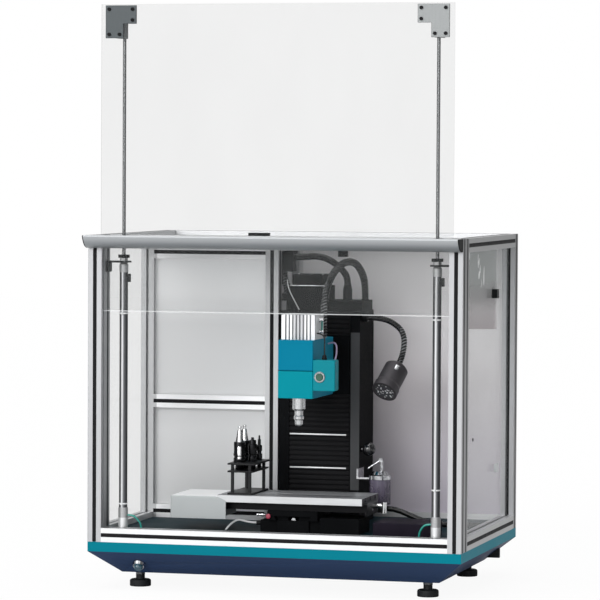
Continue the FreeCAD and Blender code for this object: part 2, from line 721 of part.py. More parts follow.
cap_hoses = [cap_hose("left air hose", rod_spots[0], 1, 24, 8, 50),
             cap_hose("right air hose", rod_spots[1], -1, 22, 10, 50)]

# --- Milling machine: base casting -------------------------------------------------------------------
mill_x = left + s.cabinet_width + s.column_clearance + s.column_width / 2
way_half = s.way_width / 2
flare = s.way_flare
way_base = floor + s.mill_base_height
way_top = way_base + s.way_height
channel_half = s.screw_channel / 2
base_half = s.mill_base_width / 2


def dovetail_section(half_width, height, below):
    """A block with a dovetail way on top and a channel for the feed screw."""
    return [(-half_width, -below), (half_width, -below), (half_width, 0), (way_half, 0),
            (way_half + flare, height), (channel_half, height), (channel_half, height - s.channel_depth),
            (-channel_half, height - s.channel_depth), (-channel_half, height),
            (-way_half - flare, height), (-way_half, 0), (-half_width, 0)]


mill_back = front + s.mill_back
ways = extruded(dovetail_section(base_half, s.way_height, s.mill_base_height),
                s.column_front - s.mill_front, (mill_x, front + s.column_front, way_base), TO_FRONT)
column_foot = centred_box((mill_x, front + (s.column_front + s.mill_back) / 2, floor),
                          (s.column_width, s.mill_back - s.column_front,
                           s.mill_base_height + s.column_foot_height))
front_wall = box((mill_x - way_half, front + s.mill_front - s.end_plate, floor),
                 (s.way_width, s.end_plate, s.mill_base_height))
# The Y drive sits in a housing beside the ways, under the right half of the table.
drive_box = box((mill_x + s.saddle_width / 2 + 4, front + s.mill_front - s.end_plate, floor),
                (s.drive_box_width, s.drive_box_depth, s.drive_box_height))
node("mill_base", fuse(ways, column_foot, front_wall, drive_box))

# The Y feed screw lies in the channel of the base, from its front wall to the column foot.
y_screw_z = way_top - s.channel_depth / 2
y_screw_length = s.column_front - s.mill_front
node("y_screw", cylinder((mill_x, front + s.column_front - s.feed_gap, y_screw_z), s.feed_screw_radius,
                         y_screw_length - s.feed_gap * 2, TO_FRONT))

# --- Saddle ------------------------------------------------------------------------------------------
gap = s.slide_gap
saddle_half = s.saddle_width / 2
saddle_base = way_base + gap
saddle_top = way_base + s.way_height + s.saddle_height
table_mid = front + s.table_front + s.table_depth / 2
saddle_lower = extruded([
    (-saddle_half, 0), (-way_half - gap, 0), (-way_half - flare - gap, s.way_height),
    (way_half + flare + gap, s.way_height), (way_half + gap, 0), (saddle_half, 0),
    (saddle_half, s.way_height + s.saddle_height - gap),
    (-saddle_half, s.way_height + s.saddle_height - gap)],
    s.saddle_depth, (mill_x, table_mid + s.saddle_depth / 2, saddle_base), TO_FRONT)
web_half = s.table_web / 2
x_channel = s.channel_depth * 0.7
saddle_upper = extruded([
    (-web_half + flare, 0), (web_half - flare, 0), (web_half, s.way_height), (channel_half, s.way_height),
    (channel_half, s.way_height - x_channel), (-channel_half, s.way_height - x_channel),
    (-channel_half, s.way_height), (-web_half, s.way_height)],
    s.saddle_width, (mill_x - saddle_half, table_mid, saddle_top), ALONG_X)
x_channel_cut = box((mill_x - saddle_half, table_mid - channel_half, saddle_top + s.way_height - x_channel),
                    (s.saddle_width, s.screw_channel, x_channel))
y_nut = cut(centred_box((mill_x, table_mid + s.table_depth / 8, y_screw_z - s.feed_screw_radius * 1.4),
                        (s.nut_block, s.nut_block, saddle_top - y_screw_z)),
            cylinder((mill_x, table_mid + s.table_depth / 2, y_screw_z), s.feed_screw_radius + s.feed_gap,
                     s.table_depth, TO_FRONT))
x_screw_z = saddle_top + s.way_height - x_channel / 2
x_nut = cut(centred_box((mill_x, table_mid, saddle_top + s.way_height - x_channel),
                        (s.nut_block, s.nut_block, x_channel * 0.98)),
            cylinder((mill_x - saddle_half, table_mid, x_screw_z), s.feed_screw_radius + s.feed_gap,
                     s.saddle_width, ALONG_X))
node("saddle", fuse(cut(fuse(saddle_lower, saddle_upper), x_channel_cut), y_nut, x_nut))

# --- Table -------------------------------------------------------------------------------------------
# A ground plate with three T-slots, a narrower web with the female dovetail, and end plates.
table_left = mill_x - s.table_reach
table_base = saddle_top + gap
table_top = table_base + s.table_thickness
table_half = s.table_depth / 2
web_outer = web_half + flare * 2.5


def tslot(middle):
    """Corners of one T-slot, from the table's top face down."""
    mouth = s.tslot_mouth / 2
    cavity = s.tslot_cavity / 2
    crown = s.table_thickness
    return [(middle - mouth, crown), (middle - mouth, crown - s.tslot_lip),
            (middle - cavity, crown - s.tslot_lip), (middle - cavity, crown - s.tslot_depth),
            (middle + cavity, crown - s.tslot_depth), (middle + cavity, crown - s.tslot_lip),
            (middle + mouth, crown - s.tslot_lip), (middle + mouth, crown)]


edge_base = s.table_thickness - s.table_edge
table_section = [(-web_outer, 0), (-web_half + flare - gap, 0), (-web_half - gap, s.way_height),
                 (web_half + gap, s.way_height), (web_half - flare + gap, 0), (web_outer, 0),
                 (web_outer, edge_base), (table_half, edge_base), (table_half, s.table_thickness)]
for slot_middle in (s.tslot_pitch, as_size(0), -s.tslot_pitch):
    table_section += list(reversed(tslot(slot_middle)))
table_section += [(-table_half, s.table_thickness), (-table_half, edge_base), (-web_outer, edge_base)]
table_plate = extruded(table_section, s.table_length, (table_left, table_mid, table_base), ALONG_X)
bearing_base = x_screw_z - s.feed_screw_radius * 2.2
end_plate = cut(box((table_left + s.table_length, table_mid - web_outer, bearing_base),
                    (s.end_plate, web_outer * 2, table_top - s.tslot_depth - bearing_base)),
                cylinder((table_left + s.table_length, table_mid, x_screw_z),
                         s.feed_screw_radius + s.feed_gap, s.end_plate, ALONG_X))
table_end = table_left + s.table_length + s.end_plate
cock_y = table_mid + s.table_web * 0.47
cock_z = bearing_base + s.cock_radius * 2.9
drain_cock = [cylinder((table_end, cock_y, cock_z), s.cock_radius, s.cock_reach, ALONG_X),
              cylinder((table_end + s.cock_reach, cock_y, cock_z - s.cock_height * 0.66),
                       s.cock_radius * 1.15, s.cock_height)]
node("table", fuse(table_plate, end_plate, *drain_cock))
node("x_screw", cylinder((table_left + s.feed_gap, table_mid, x_screw_z), s.feed_screw_radius,
                         s.table_length + s.end_plate - s.feed_gap, ALONG_X))

# The X drive hangs on the left end of the table, under a pale sheet cover.
cover_depth = s.table_depth + s.cover_lip
cover_base = table_top - s.drive_cover_drop - s.drive_cover_height
cover = extruded([(0, 0), (s.drive_cover_length, 0), (s.drive_cover_length, cover_depth),
                  (0, cover_depth)], s.drive_cover_height,
                 (table_left - s.drive_cover_length, table_mid - table_half - s.cover_lip, cover_base))
# A flap of the sheet, cut back at its top corner, laps over the table's front.
cover_flap = extruded([(0, 0), (s.cover_flap, 0), (s.cover_flap, s.drive_cover_height - s.cover_notch),
                       (0, s.drive_cover_height)], s.cover_lip,
                      (table_left, table_mid - table_half, cover_base), TO_FRONT)
node("x_drive_cover", fuse(rounded(cover, s.drive_cover_round,
                                   lambda run, middle: run.z == 0 and middle.z > 1 and middle.x < 100
                                   or abs(run.z) > 1 and middle.x < 1), cover_flap))

# --- Column ------------------------------------------------------------------------------------------
# A U-shaped casting, open to the front, where the bellows hide the Z screw.
column_half = s.column_width / 2
column_front = front + s.column_front
column_base = floor + s.mill_base_height + s.column_foot_height
column_top = top - s.column_headroom
head_base = column_top - s.head_drop
column_wall = column_half - s.column_flange
channel_floor = s.column_depth - s.channel_back
node("column", extruded([
    (-column_half, 0), (-column_wall, 0), (-column_wall, channel_floor), (column_wall, channel_floor),
    (column_wall, 0), (column_half, 0), (column_half, s.column_depth), (-column_half, s.column_depth)],
    column_top - column_base, (mill_x, column_front, column_base)))
node("z_screw", cylinder((mill_x, column_front + s.z_screw_setback, column_base + s.feed_gap),
                         s.z_screw_radius, column_top - column_base - s.feed_gap * 2))

# --- Bellows -----------------------------------------------------------------------------------------
# Pleated covers above and below the head carriage, their folds running across the column.
bellows_half = column_wall - s.bellows_gap
carriage_base = head_base - 4
carriage_top = carriage_base + s.carriage_height


def pleats(base, height, folds, bar_folds):
    """A zigzag of even folds; the folds named in bar_folds carry a thin stiffening bar."""
    fold = height / folds
    corners = [(s.bellows_depth + s.bellows_back, 0)]
    for index in range(folds):
        corners.append((s.bellows_depth, fold * index))
        corners.append((0, fold * (index + 0.5)))
    corners.append((s.bellows_depth, height))
    corners.append((s.bellows_depth + s.bellows_back, height))
    skin = extruded(corners, bellows_half * 2,
                    (mill_x - bellows_half, column_front + s.bellows_gap, base), ALONG_X)
    bars = [box((mill_x - bellows_half, column_front + s.bellows_gap, base + fold * (index + 0.5) - 1.5),
                (bellows_half * 2, s.bellows_depth, 3)) for index in bar_folds]
    return fuse(skin, *bars) if bars else skin


lower_height = carriage_base - s.bellows_gap * 2 - column_base
upper_height = column_top - carriage_top - s.bellows_gap * 2
lower_folds = round(lower_height.value / SIZES["bellows_pitch"])
upper_folds = round(upper_height.value / SIZES["bellows_pitch"])
node("bellows_lower", pleats(column_base + s.bellows_gap, lower_height, lower_folds,
                             (lower_folds * 7 // 20, lower_folds * 14 // 20)))
node("bellows_upper", pleats(carriage_top + s.bellows_gap, upper_height, upper_folds, ()))

# --- Head --------------------------------------------------------------------------------------------
head_half = s.head_width / 2
head_top = head_base + s.head_height
head_front = front + s.head_front
casting_front = head_front + s.head_cover_thickness
casting_back = casting_front + s.head_casting_depth
spindle_y = head_front + s.spindle_setback
carriage_half = bellows_half - s.carriage_side_gap
z_nut = cut(centred_box((mill_x, column_front + s.z_screw_setback, carriage_base + 40),
                        (s.z_screw_radius * 5, s.z_screw_radius * 5, as_size(50))),
            cylinder((mill_x, column_front + s.z_screw_setback, carriage_base),
                     s.z_screw_radius + s.feed_gap, s.carriage_height))
nut_arm = box((mill_x - s.z_screw_radius * 2, column_front + s.carriage_thickness, carriage_base + 40),
              (s.z_screw_radius * 4, s.z_screw_setback - s.carriage_thickness - s.z_screw_radius * 2.5,
               as_size(50)))
node("head_carriage", fuse(
    box((mill_x - carriage_half, column_front, carriage_base),
        (carriage_half * 2, s.carriage_thickness, s.carriage_height)),
    box((mill_x - head_half, casting_back, head_base), (s.head_width, column_front - casting_back,
                                                         s.head_height * 0.94)),
    z_nut, nut_arm))
casting = extruded([(-head_half, 0), (head_half, 0), (head_half, s.head_casting_depth),
                    (-head_half, s.head_casting_depth)], s.head_height, (mill_x, casting_front, head_base))
node("head_casting", cut(casting, cylinder((mill_x, spindle_y, head_base), s.nose_top_radius * 0.8
                                           + s.spindle_gap, s.spindle_socket)))
seam_z = s.cover_seam
node("head_cover", group(
    box((mill_x - head_half, head_front, head_base),
        (s.head_width, s.head_cover_thickness, seam_z - s.seam_gap / 2)),
    box((mill_x - head_half, head_front, head_base + seam_z + s.seam_gap / 2),
        (s.head_width, s.head_cover_thickness, s.head_height - seam_z - s.seam_gap / 2))))

# The spindle turns in the head; its chuck hangs below.
shank = s.nose_top_radius * 0.8
node("spindle", turned([
    (0, -s.nose_drop), (s.chuck_radius * 0.9, -s.nose_drop), (s.nose_top_radius, -s.nose_drop * 0.85),
    (s.nose_top_radius, -s.spindle_gap), (shank, -s.spindle_gap), (shank, s.spindle_socket - s.spindle_gap),
    (0, s.spindle_socket - s.spindle_gap)], (mill_x, spindle_y, head_base)))
node("tool_chuck", turned([
    (s.tool_bore, -s.chuck_drop), (s.chuck_radius * 0.55, -s.chuck_drop), (s.chuck_radius * 0.8, -s.chuck_drop * 0.9),
    (s.chuck_radius * 0.8, -s.chuck_drop * 0.62), (s.chuck_radius, -s.chuck_drop * 0.55),
    (s.chuck_radius, -s.chuck_drop * 0.36), (s.chuck_radius * 0.85, -s.chuck_drop * 0.3),
    (s.chuck_radius * 0.85, 0), (0, 0), (0, s.bore_depth - s.chuck_drop),
    (s.tool_bore, s.bore_depth - s.chuck_drop)], (mill_x, spindle_y, head_base - s.nose_drop)))

# The spindle motor is a finned square extrusion on top of the head.
motor_half = s.motor_size / 2
fin_margin = s.fin_depth + 2
fin_pitch = (s.motor_size - fin_margin * 2) / SIZES["fin_count"]


def fin_side():
    """The fins of one side, from its first corner: how far along, and how deep."""
    corners = []
    for fin in range(SIZES["fin_count"]):
        near = fin_margin + fin_pitch * (fin + 0.28)
        far = fin_margin + fin_pitch * (fin + 0.72)
        corners += [(near, 0), (near, s.fin_depth), (far, s.fin_depth), (far, 0)]
    return corners


motor_corners = [(-motor_half, -motor_half)]
motor_corners += [(-motor_half + a, -motor_half + d) for a, d in fin_side()] + [(motor_half, -motor_half)]
motor_corners += [(motor_half - d, -motor_half + a) for a, d in fin_side()] + [(motor_half, motor_half)]
motor_corners += [(-motor_half, motor_half)]
motor_corners += [(-motor_half + d, -motor_half + a) for a, d in reversed(fin_side())]
motor_y = head_front + s.motor_setback + motor_half
node("spindle_motor", extruded(motor_corners, s.motor_height, (mill_x, motor_y, head_top)))

# --- Control box on the head -------------------------------------------------------------------------
control_x = mill_x + head_half
control_z = head_base + s.control_rise
control_shell = extruded([(0, 0), (s.control_width, 0), (s.control_width, s.control_height),
                          (0, s.control_height)], s.control_depth,
                         (control_x, head_front + s.control_depth, control_z), TO_FRONT)
rounded(control_shell, s.control_round, lambda run, middle: abs(run.z) > 1 and middle.x > 60)
press_at = (control_x + s.control_width * 0.32, head_front, control_z + s.control_height * 0.45)
node("control_box", cut(control_shell, cylinder(
    (press_at[0], head_front + s.head_button_rise * 2, press_at[2]),
    s.head_button_radius + s.button_gap, s.head_button_rise * 2, TO_FRONT)))
ring_bore = s.head_button_radius + s.button_gap
node("head_button_ring", turned([
    (ring_bore, 0), (s.head_ring_radius, 0), (s.head_ring_radius, s.head_ring_height * 0.6),
    (s.head_ring_radius * 0.9, s.head_ring_height), (ring_bore, s.head_ring_height)], press_at, TO_FRONT))
node("head_button", turned([
    (0, -s.head_button_rise), (s.head_button_radius, -s.head_button_rise),
    (s.head_button_radius, s.head_button_rise * 0.8), (s.head_button_radius * 0.85, s.head_button_rise),
    (0, s.head_button_rise)], press_at, TO_FRONT))

# --- Z drive on top of the column --------------------------------------------------------------------
z_motor_x = mill_x - column_half + s.z_motor_from_left
z_motor_y = column_front + 25
z_cap_x = z_motor_x + (s.z_motor_width - s.z_cap_width) / 2
belt_x = z_motor_x + s.z_motor_width
node("z_drive", group(
    box((z_motor_x, z_motor_y, column_top), (s.z_motor_width, s.z_motor_depth, s.z_motor_height)),
    box((z_cap_x, z_motor_y + 14, column_top + s.z_motor_height),
        (s.z_cap_width, s.z_cap_width, s.z_cap_height)),
    box((belt_x, z_motor_y, column_top),
        (mill_x + column_half - belt_x, s.belt_box_depth, s.belt_box_height))))

# --- Conduits ----------------------------------------------------------------------------------------
# The ribbed head conduit arches from the spindle motor over to the column; its points are chosen by hand.
RIB_DEPTH = 1.6
RIB_PITCH = 12.0
CONDUIT_WALL = 1.5
conduit_start = (mill_x + motor_half - 8, motor_y + 80, head_top)
conduit_end = (mill_x + column_half - 14, z_motor_y + 95, column_top + s.belt_box_height)
node("head_conduit", ribbed_hose("head conduit", [
    conduit_start,
    (conduit_start[0], conduit_start[1], conduit_start[2] + 60),
    (conduit_start[0] + 4, conduit_start[1] + 2, conduit_start[2] + 128),
    (conduit_start[0] + 18, conduit_start[1] + 27, conduit_start[2] + 186),
    (conduit_start[0] + 38, conduit_start[1] + 80, conduit_start[2] + 220),
    (conduit_start[0] + 58, conduit_start[1] + 140, conduit_start[2] + 220),
    (conduit_end[0] - 3, conduit_end[1] - 32, conduit_end[2] + 86),
    (conduit_end[0], conduit_end[1], conduit_end[2] + 48),
    conduit_end], SIZES["conduit_radius"], RIB_DEPTH, RIB_PITCH, CONDUIT_WALL))

# Fittings: an elbow housing high on the cabinet's inner side, a gland block on the Z motor, a plug on the
# belt box, the socket that the lamp's arm turns in, the air fitting on the side of the base and the drain
# elbow under the lubricator.
housing_size = as_size(52)
housing_depth = as_size(36)
housing_height = as_size(34)
housing_rise = as_size(24)
panel_face = cabinet_post + slot_line + s.panel_thickness / 2
housing_y = z_motor_y + 62
housing_top = cabinet_ceiling - 2
housing_base = housing_top - housing_height
housing_side = cabinet_post + s.bar_size + s.rod_gap
gland_size = as_size(26)
gland_top = column_top + 48
gland_x = z_motor_x - gland_size / 2
plug_x = belt_x + 52
plug_y = z_motor_y + 66
plug_base = column_top + s.belt_box_height
plug_height = as_size(44)
lamp_y = column_front + 40
column_side = mill_x + column_half
lamp_z = column_top - 18
socket_length = as_size(14)
fitting_length = as_size(14)
air_fitting_x = mill_x - base_half - fitting_length
air_fitting_y = front + s.mill_front + 15
air_fitting_z = way_base - 11
jar_x = mill_x + 192
jar_y = column_front - 22
jar_base = deck + s.jar_rise
elbow_radius = as_size(11)
elbow_height = as_size(24)
node("conduit_fittings", group(
    cylinder((jar_x, jar_y, jar_base - elbow_height), elbow_radius, elbow_height),
    fuse(box((panel_face, housing_y - housing_depth / 2, housing_base),
             (housing_size, housing_depth, housing_height)),
         box((housing_side, housing_y - housing_depth / 2, housing_top),
             (panel_face + housing_size - housing_side, housing_depth, housing_rise))),
    box((z_motor_x - gland_size, housing_y - gland_size / 2, gland_top - 22),
        (gland_size, gland_size, as_size(22))),
    turned([(0, 0), (14, 0), (14, plug_height * 0.7), (11, plug_height), (0, plug_height)],
           (plug_x, plug_y, plug_base)),
    cylinder((air_fitting_x, air_fitting_y, air_fitting_z), s.hose_radius + 4, fitting_length, ALONG_X),
    cut(cylinder((column_side, lamp_y, lamp_z), s.lamp_arm_radius + 5, socket_length, ALONG_X),
        cylinder((column_side, lamp_y, lamp_z), s.lamp_arm_radius + s.rod_gap, socket_length, ALONG_X))))

# Two supply conduits leave the elbow housing: one down to the Z motor, one over to the plug.
housing_x = panel_face + housing_size
supply_x = panel_face + housing_size * 0.35
plug_top = plug_base + plug_height
node("supply_conduits", group(
    hose("plug conduit", [
        (housing_x, housing_y, housing_top + 10), (housing_x + 28, housing_y, housing_top + 10),
        (housing_x + 68, housing_y + 1, housing_top + 14), (housing_x + 106, housing_y + 3, housing_top + 4),
        (housing_x + 136, housing_y + 4, housing_top - 18), (plug_x - 7, plug_y, plug_top + 35),
        (plug_x, plug_y, plug_top + 15), (plug_x, plug_y, plug_top)], s.conduit_radius),
    ribbed_hose("motor conduit", [
        (supply_x, housing_y, housing_base), (supply_x, housing_y, housing_base - 20),
        (gland_x, housing_y, gland_top + 20), (gland_x, housing_y, gland_top)],
        SIZES["conduit_radius"] * 1.05, RIB_DEPTH, RIB_PITCH * 0.8, CONDUIT_WALL)))

# --- Gooseneck lamp ----------------------------------------------------------------------------------
LAMP_AXIS = Vector(-0.227, -0.686, -0.691).normalize()
lamp_at = (mill_x + s.lamp_out, lamp_y - s.lamp_forward, column_top - s.lamp_drop)
arm_start = column_side + s.rod_gap


def lamp_tail(away):
    """A point behind the lamp's back, on its axis."""
    return tuple(coordinate - LAMP_AXIS[index] * away for index, coordinate in enumerate(lamp_at))


node("lamp_arm", hose("lamp arm", [
    (arm_start, lamp_y, lamp_z), (column_side + s.lamp_reach * 0.33, lamp_y, lamp_z),
    (column_side + s.lamp_reach * 0.686, lamp_y - 5, lamp_z - s.lamp_bow / 4),
    (column_side + s.lamp_reach, lamp_y - 14, lamp_z - s.lamp_bow),
    lamp_tail(s.lamp_bow), lamp_at], s.lamp_arm_radius))
lamp_turn = Rotation(Vector(0, 0, 1), LAMP_AXIS)
node("lamp_head", turned([
    (0, 0), (s.lamp_arm_radius + 3, 0), (s.lamp_radius - 8, 2), (s.lamp_radius, 10),
    (s.lamp_radius, s.lamp_length * 0.72), (s.lamp_rim, s.lamp_length * 0.8), (s.lamp_rim, s.lamp_length),
    (s.lens_radius, s.lamp_length), (s.lens_radius, s.lamp_length - s.lens_setback - s.lens_thickness),
    (0, s.lamp_length - s.lens_setback - s.lens_thickness)], lamp_at, lamp_turn))
node("lamp_lens", turned([
    (0, s.lamp_length - s.lens_setback - s.lens_thickness),
    (s.lens_radius - s.seat_gap, s.lamp_length - s.lens_setback - s.lens_thickness),
    (s.lens_radius - s.seat_gap, s.lamp_length - s.lens_setback), (0, s.lamp_length - s.lens_setback)],
    lamp_at, lamp_turn))

# --- Slide lock knob ---------------------------------------------------------------------------------
knob_at = (column_side, column_front + 22, deck + 246)
knob_ball = place(bind(doc.addObject("Part::Sphere", "Ball"), Radius=s.knob_radius),
                  (knob_at[0] + s.knob_stem + s.knob_radius * 0.92, knob_at[1], knob_at[2]))
node("lock_knob", fuse(knob_ball, cylinder((knob_at[0] + s.slide_gap, knob_at[1], knob_at[2]),
                                           s.knob_radius * 0.4, s.knob_stem + 6, ALONG_X)))

# --- Tool rack on the left end of the table ----------------------------------------------------------
rack_x = table_left + s.rack_inset
rack_y = front + s.table_front + s.rack_setback
rack_parts = [box((rack_x, rack_y, table_top), (s.rack_width, s.rack_depth, s.rack_plate)),
              box((rack_x, rack_y, table_top + s.rack_shelf),
                  (s.rack_width, s.rack_depth, s.rack_plate))]
leg_height = s.rack_fork
for x in (rack_x + s.rack_leg, rack_x + s.rack_width - s.rack_leg * 2):
    for y in (rack_y + s.rack_leg, rack_y + s.rack_depth - s.rack_leg * 2):
        rack_parts.append(box((x, y, table_top), (s.rack_leg, s.rack_leg, leg_height)))
fork = box((rack_x, rack_y, table_top + s.rack_fork), (s.rack_width + 6, s.rack_depth, s.rack_plate))
tool_spots = {
    "near_taper": (rack_x + s.rack_width * 0.263, rack_y + s.rack_depth * 0.331, 1.0),
    "far_taper": (rack_x + s.rack_width * 0.237, rack_y + s.rack_depth * 0.663, 1.0),
    "sleeve": (rack_x + s.rack_width * 0.671, rack_y + s.rack_depth * 0.491, 0.75),
    "pencil": (rack_x + s.rack_width * 0.724, rack_y + s.rack_depth * 0.834, 0.5)}
fork_holes = [cylinder((x, y, table_top + s.rack_shelf + s.rack_plate),
                       s.holder_radius * share * 0.7 + s.rack_hole_gap, s.rack_fork)
              for x, y, share in tool_spots.values()]
node("tool_rack", cut(fuse(*rack_parts, fork), *fork_holes))
shelf_top = table_top + s.rack_shelf + s.rack_plate
fork_top = table_top + s.rack_fork + s.rack_plate
tools = []
for name, (x, y, share) in tool_spots.items():
    r = s.holder_radius * share
    neck = fork_top - shelf_top
    if name.endswith("taper"):
        tail = [(s.taper_radius, neck + s.holder_length), (s.taper_tip, neck + s.holder_length
                                                           + s.taper_length * 0.85),
                (s.taper_tip * 1.3, neck + s.holder_length + s.taper_length * 0.9),
                (s.taper_tip * 1.3, neck + s.holder_length + s.taper_length),
                (0, neck + s.holder_length + s.taper_length)]
    else:
        tail = [(r * 0.6, neck + s.holder_length * 1.1), (0, neck + s.holder_length * 1.22)]
    tools.append(turned([(0, 0), (r * 0.7, 0), (r * 0.7, neck), (r, neck), (r, neck + s.holder_length)]
                        + tail, (x, y, shelf_top)))
node("rack_tools", group(*tools))

# --- Lubricator beside the column --------------------------------------------------------------------
jar_top = jar_base + s.jar_height
node("oiler_jar", turned([
    (0, 0), (s.jar_radius, 0), (s.jar_radius, s.jar_height), (s.jar_radius - s.jar_wall, s.jar_height),
    (s.jar_radius - s.jar_wall, s.jar_wall), (0, s.jar_wall)], (jar_x, jar_y, jar_base)))
cap_r = s.oiler_cap_radius
cap_top = jar_top + s.oiler_cap_height
pump_x = jar_x + 4
pin_z = cap_top + s.pump_rise - 6
pump_post = cylinder((pump_x, jar_y, cap_top - 1), s.pump_radius, s.pump_rise)
pin_hole = cylinder((pump_x, jar_y + s.pump_radius, pin_z), s.pin_radius + s.rod_gap, s.pump_radius * 2,
                    TO_FRONT)
cap_body = turned([
    (0, 0), (cap_r, 0), (cap_r, s.oiler_cap_height * 0.5), (cap_r * 0.8, s.oiler_cap_height * 0.6),
    (cap_r * 0.6, s.oiler_cap_height), (0, s.oiler_cap_height)], (jar_x, jar_y, jar_top))
bracket_plate = box((column_side, jar_y - 10, jar_top), (s.strap_thickness, as_size(70), as_size(30)))
bracket_arm = box((column_side, jar_y - 10, jar_top), (jar_x - column_side, as_size(20), s.strap_thickness))
node("oiler_cap", fuse(cap_body, bracket_plate, bracket_arm, cut(pump_post, pin_hole)))
# The pump lever turns on a pin through the top of the pump rod and slopes down to the column.
LEVER_TILT = Rotation(Vector(0, 1, 0), -34)
hub_front = jar_y - s.pump_radius - s.slide_gap
hub_depth = s.lever_radius * 2
lever_y = hub_front - hub_depth / 2
lever_turn = LEVER_TILT.multiply(TO_LEFT)
node("oiler_lever", fuse(
    cylinder((pump_x, hub_front, pin_z), s.lever_radius * 1.7, hub_depth, TO_FRONT),
    cylinder((pump_x, jar_y + s.pump_radius, pin_z), s.pin_radius, s.pump_radius * 2 + s.slide_gap * 2,
             TO_FRONT),
    cylinder((pump_x, lever_y, pin_z), s.lever_radius * 0.8, s.lever_length, lever_turn)))

# --- On the floor ------------------------------------------------------------------------------------
floor_box_x = right - s.floor_box_side - s.floor_box_width
floor_box_y = front + s.floor_box_front
node("floor_box", box((floor_box_x, floor_box_y, floor),
                      (s.floor_box_width, s.floor_box_depth, s.floor_box_height)))
hose_z = floor + 9
drain_run = inner_right - jar_x
node("floor_hoses", group(
    *cap_hoses,
    hose("drain hose", [
        (jar_x + elbow_radius, jar_y, jar_base - elbow_height / 2),
        (jar_x + drain_run * 0.148, jar_y, jar_base - elbow_height / 2),
        (jar_x + drain_run * 0.298, jar_y - 5, hose_z + 26), (jar_x + drain_run * 0.449, jar_y - 4, hose_z + 8),
        (jar_x + drain_run * 0.607, jar_y + 4, hose_z), (jar_x + drain_run * 0.77, jar_y + 14, hose_z),
        (inner_right, jar_y + 14, hose_z)], as_size(8)),
    hose("air line", [
        (air_fitting_x, air_fitting_y, air_fitting_z),
        (air_fitting_x - s.air_line_reach * 0.28, air_fitting_y, air_fitting_z),
        (air_fitting_x - s.air_line_reach * 0.72, air_fitting_y - 8, air_fitting_z + 12),
        (air_fitting_x - s.air_line_reach, air_fitting_y - 14, floor + 2.5)], s.hose_radius)))

# --- Small black catches -----------------------------------------------------------------------------
node("catches", group(
    box((right_line + s.window_thickness / 2, front + s.catch_back, deck + s.catch_height),
        (slot_line - s.window_thickness, s.catch_size, s.catch_size)),
    box((left + s.roof_catch_side, front + s.roof_catch_back, top),
        (s.roof_catch_length, as_size(32), as_size(9))),
    box((left + s.header_catch_side, side_start - 22, under_top - 16),
        (as_size(24), as_size(22), as_size(26)))))

# --- Check and write ---------------------------------------------------------------------------------
doc.recompute()
faults = [item.Name for item in doc.Objects if "Invalid" in item.State or "Error" in item.State]
assert not faults, f"failed features: {faults}"
for part in nodes:
    assert not part.Shape.isNull() and part.Shape.isValid(), f"bad shape: {part.Label}"
    assert part.Shape.Solids, f"no solid: {part.Label}"
os.makedirs("parts", exist_ok=True)
for part in nodes:
    part.Shape.exportStep(f"parts/{part.Label}.step")
box_of_all = FreeCAD.BoundBox()
for part in nodes:
    box_of_all.add(part.Shape.BoundBox)
print(f"{len(nodes)} sub-parts, overall {box_of_all.XLength:.1f} x {box_of_all.YLength:.1f} x "
      f"{box_of_all.ZLength:.1f}, from Z {box_of_all.ZMin:.2f}")
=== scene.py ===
import math
import bmesh
import bpy
from mathutils import Matrix, Vector


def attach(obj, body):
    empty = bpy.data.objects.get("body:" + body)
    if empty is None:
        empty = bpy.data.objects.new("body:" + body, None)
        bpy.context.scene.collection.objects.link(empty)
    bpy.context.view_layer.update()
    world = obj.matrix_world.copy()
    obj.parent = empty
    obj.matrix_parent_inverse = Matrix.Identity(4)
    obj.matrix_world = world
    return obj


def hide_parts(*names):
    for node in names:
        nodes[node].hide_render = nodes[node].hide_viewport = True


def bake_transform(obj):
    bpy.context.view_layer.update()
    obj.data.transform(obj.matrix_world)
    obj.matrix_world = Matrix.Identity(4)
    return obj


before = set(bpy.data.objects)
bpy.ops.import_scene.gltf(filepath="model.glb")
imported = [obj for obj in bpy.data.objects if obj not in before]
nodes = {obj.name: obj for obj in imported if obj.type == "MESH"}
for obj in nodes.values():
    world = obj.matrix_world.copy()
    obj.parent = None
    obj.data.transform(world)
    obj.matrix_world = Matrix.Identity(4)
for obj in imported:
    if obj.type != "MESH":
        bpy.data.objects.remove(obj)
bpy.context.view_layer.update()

# --- Studio ------------------------------------------------------------------------------------------
# A pale floor under two broad soft lamps. The long lens looks at the machine from its front right, from a
# little above the roof, as in the photograph.
yaw, pitch, roll = math.radians(14.88), math.radians(2.28), math.radians(0.31)
aside = Vector((math.cos(yaw), math.sin(yaw), 0))
ahead = Vector((-math.sin(yaw), math.cos(yaw), 0))
view_line = ahead * math.cos(pitch) - Vector((0, 0, 1)) * math.sin(pitch)
rise = Vector((0, 0, 1)) * math.cos(pitch) + ahead * math.sin(pitch)
view_right = aside * math.cos(roll) + rise * math.sin(roll)
view_up = rise * math.cos(roll) - aside * math.sin(roll)
lens = bpy.data.cameras.new("Camera")
lens.lens = 215.82
lens.sensor_width = 36
lens.clip_end = 60
camera = bpy.data.objects.new("Camera", lens)
bpy.context.scene.collection.objects.link(camera)
CAMERA_PLACE = (2.688, -10.173, 1.247)
camera.matrix_world = Matrix.Translation(CAMERA_PLACE) @ Matrix(
    (view_right, view_up, -view_line)).transposed().to_4x4()
bpy.context.scene.camera = camera
bpy.context.scene.view_settings.view_transform = "Standard"


def soft_lamp(name, aim, strength, spread):
    """A distant broad lamp that shines along a direction."""
    lamp = bpy.data.lights.new(name, "SUN")
    lamp.energy = strength
    lamp.angle = math.radians(spread)
    holder = bpy.data.objects.new(name, lamp)
    bpy.context.scene.collection.objects.link(holder)
    holder.rotation_euler = Vector(aim).to_track_quat("-Z", "Y").to_euler()


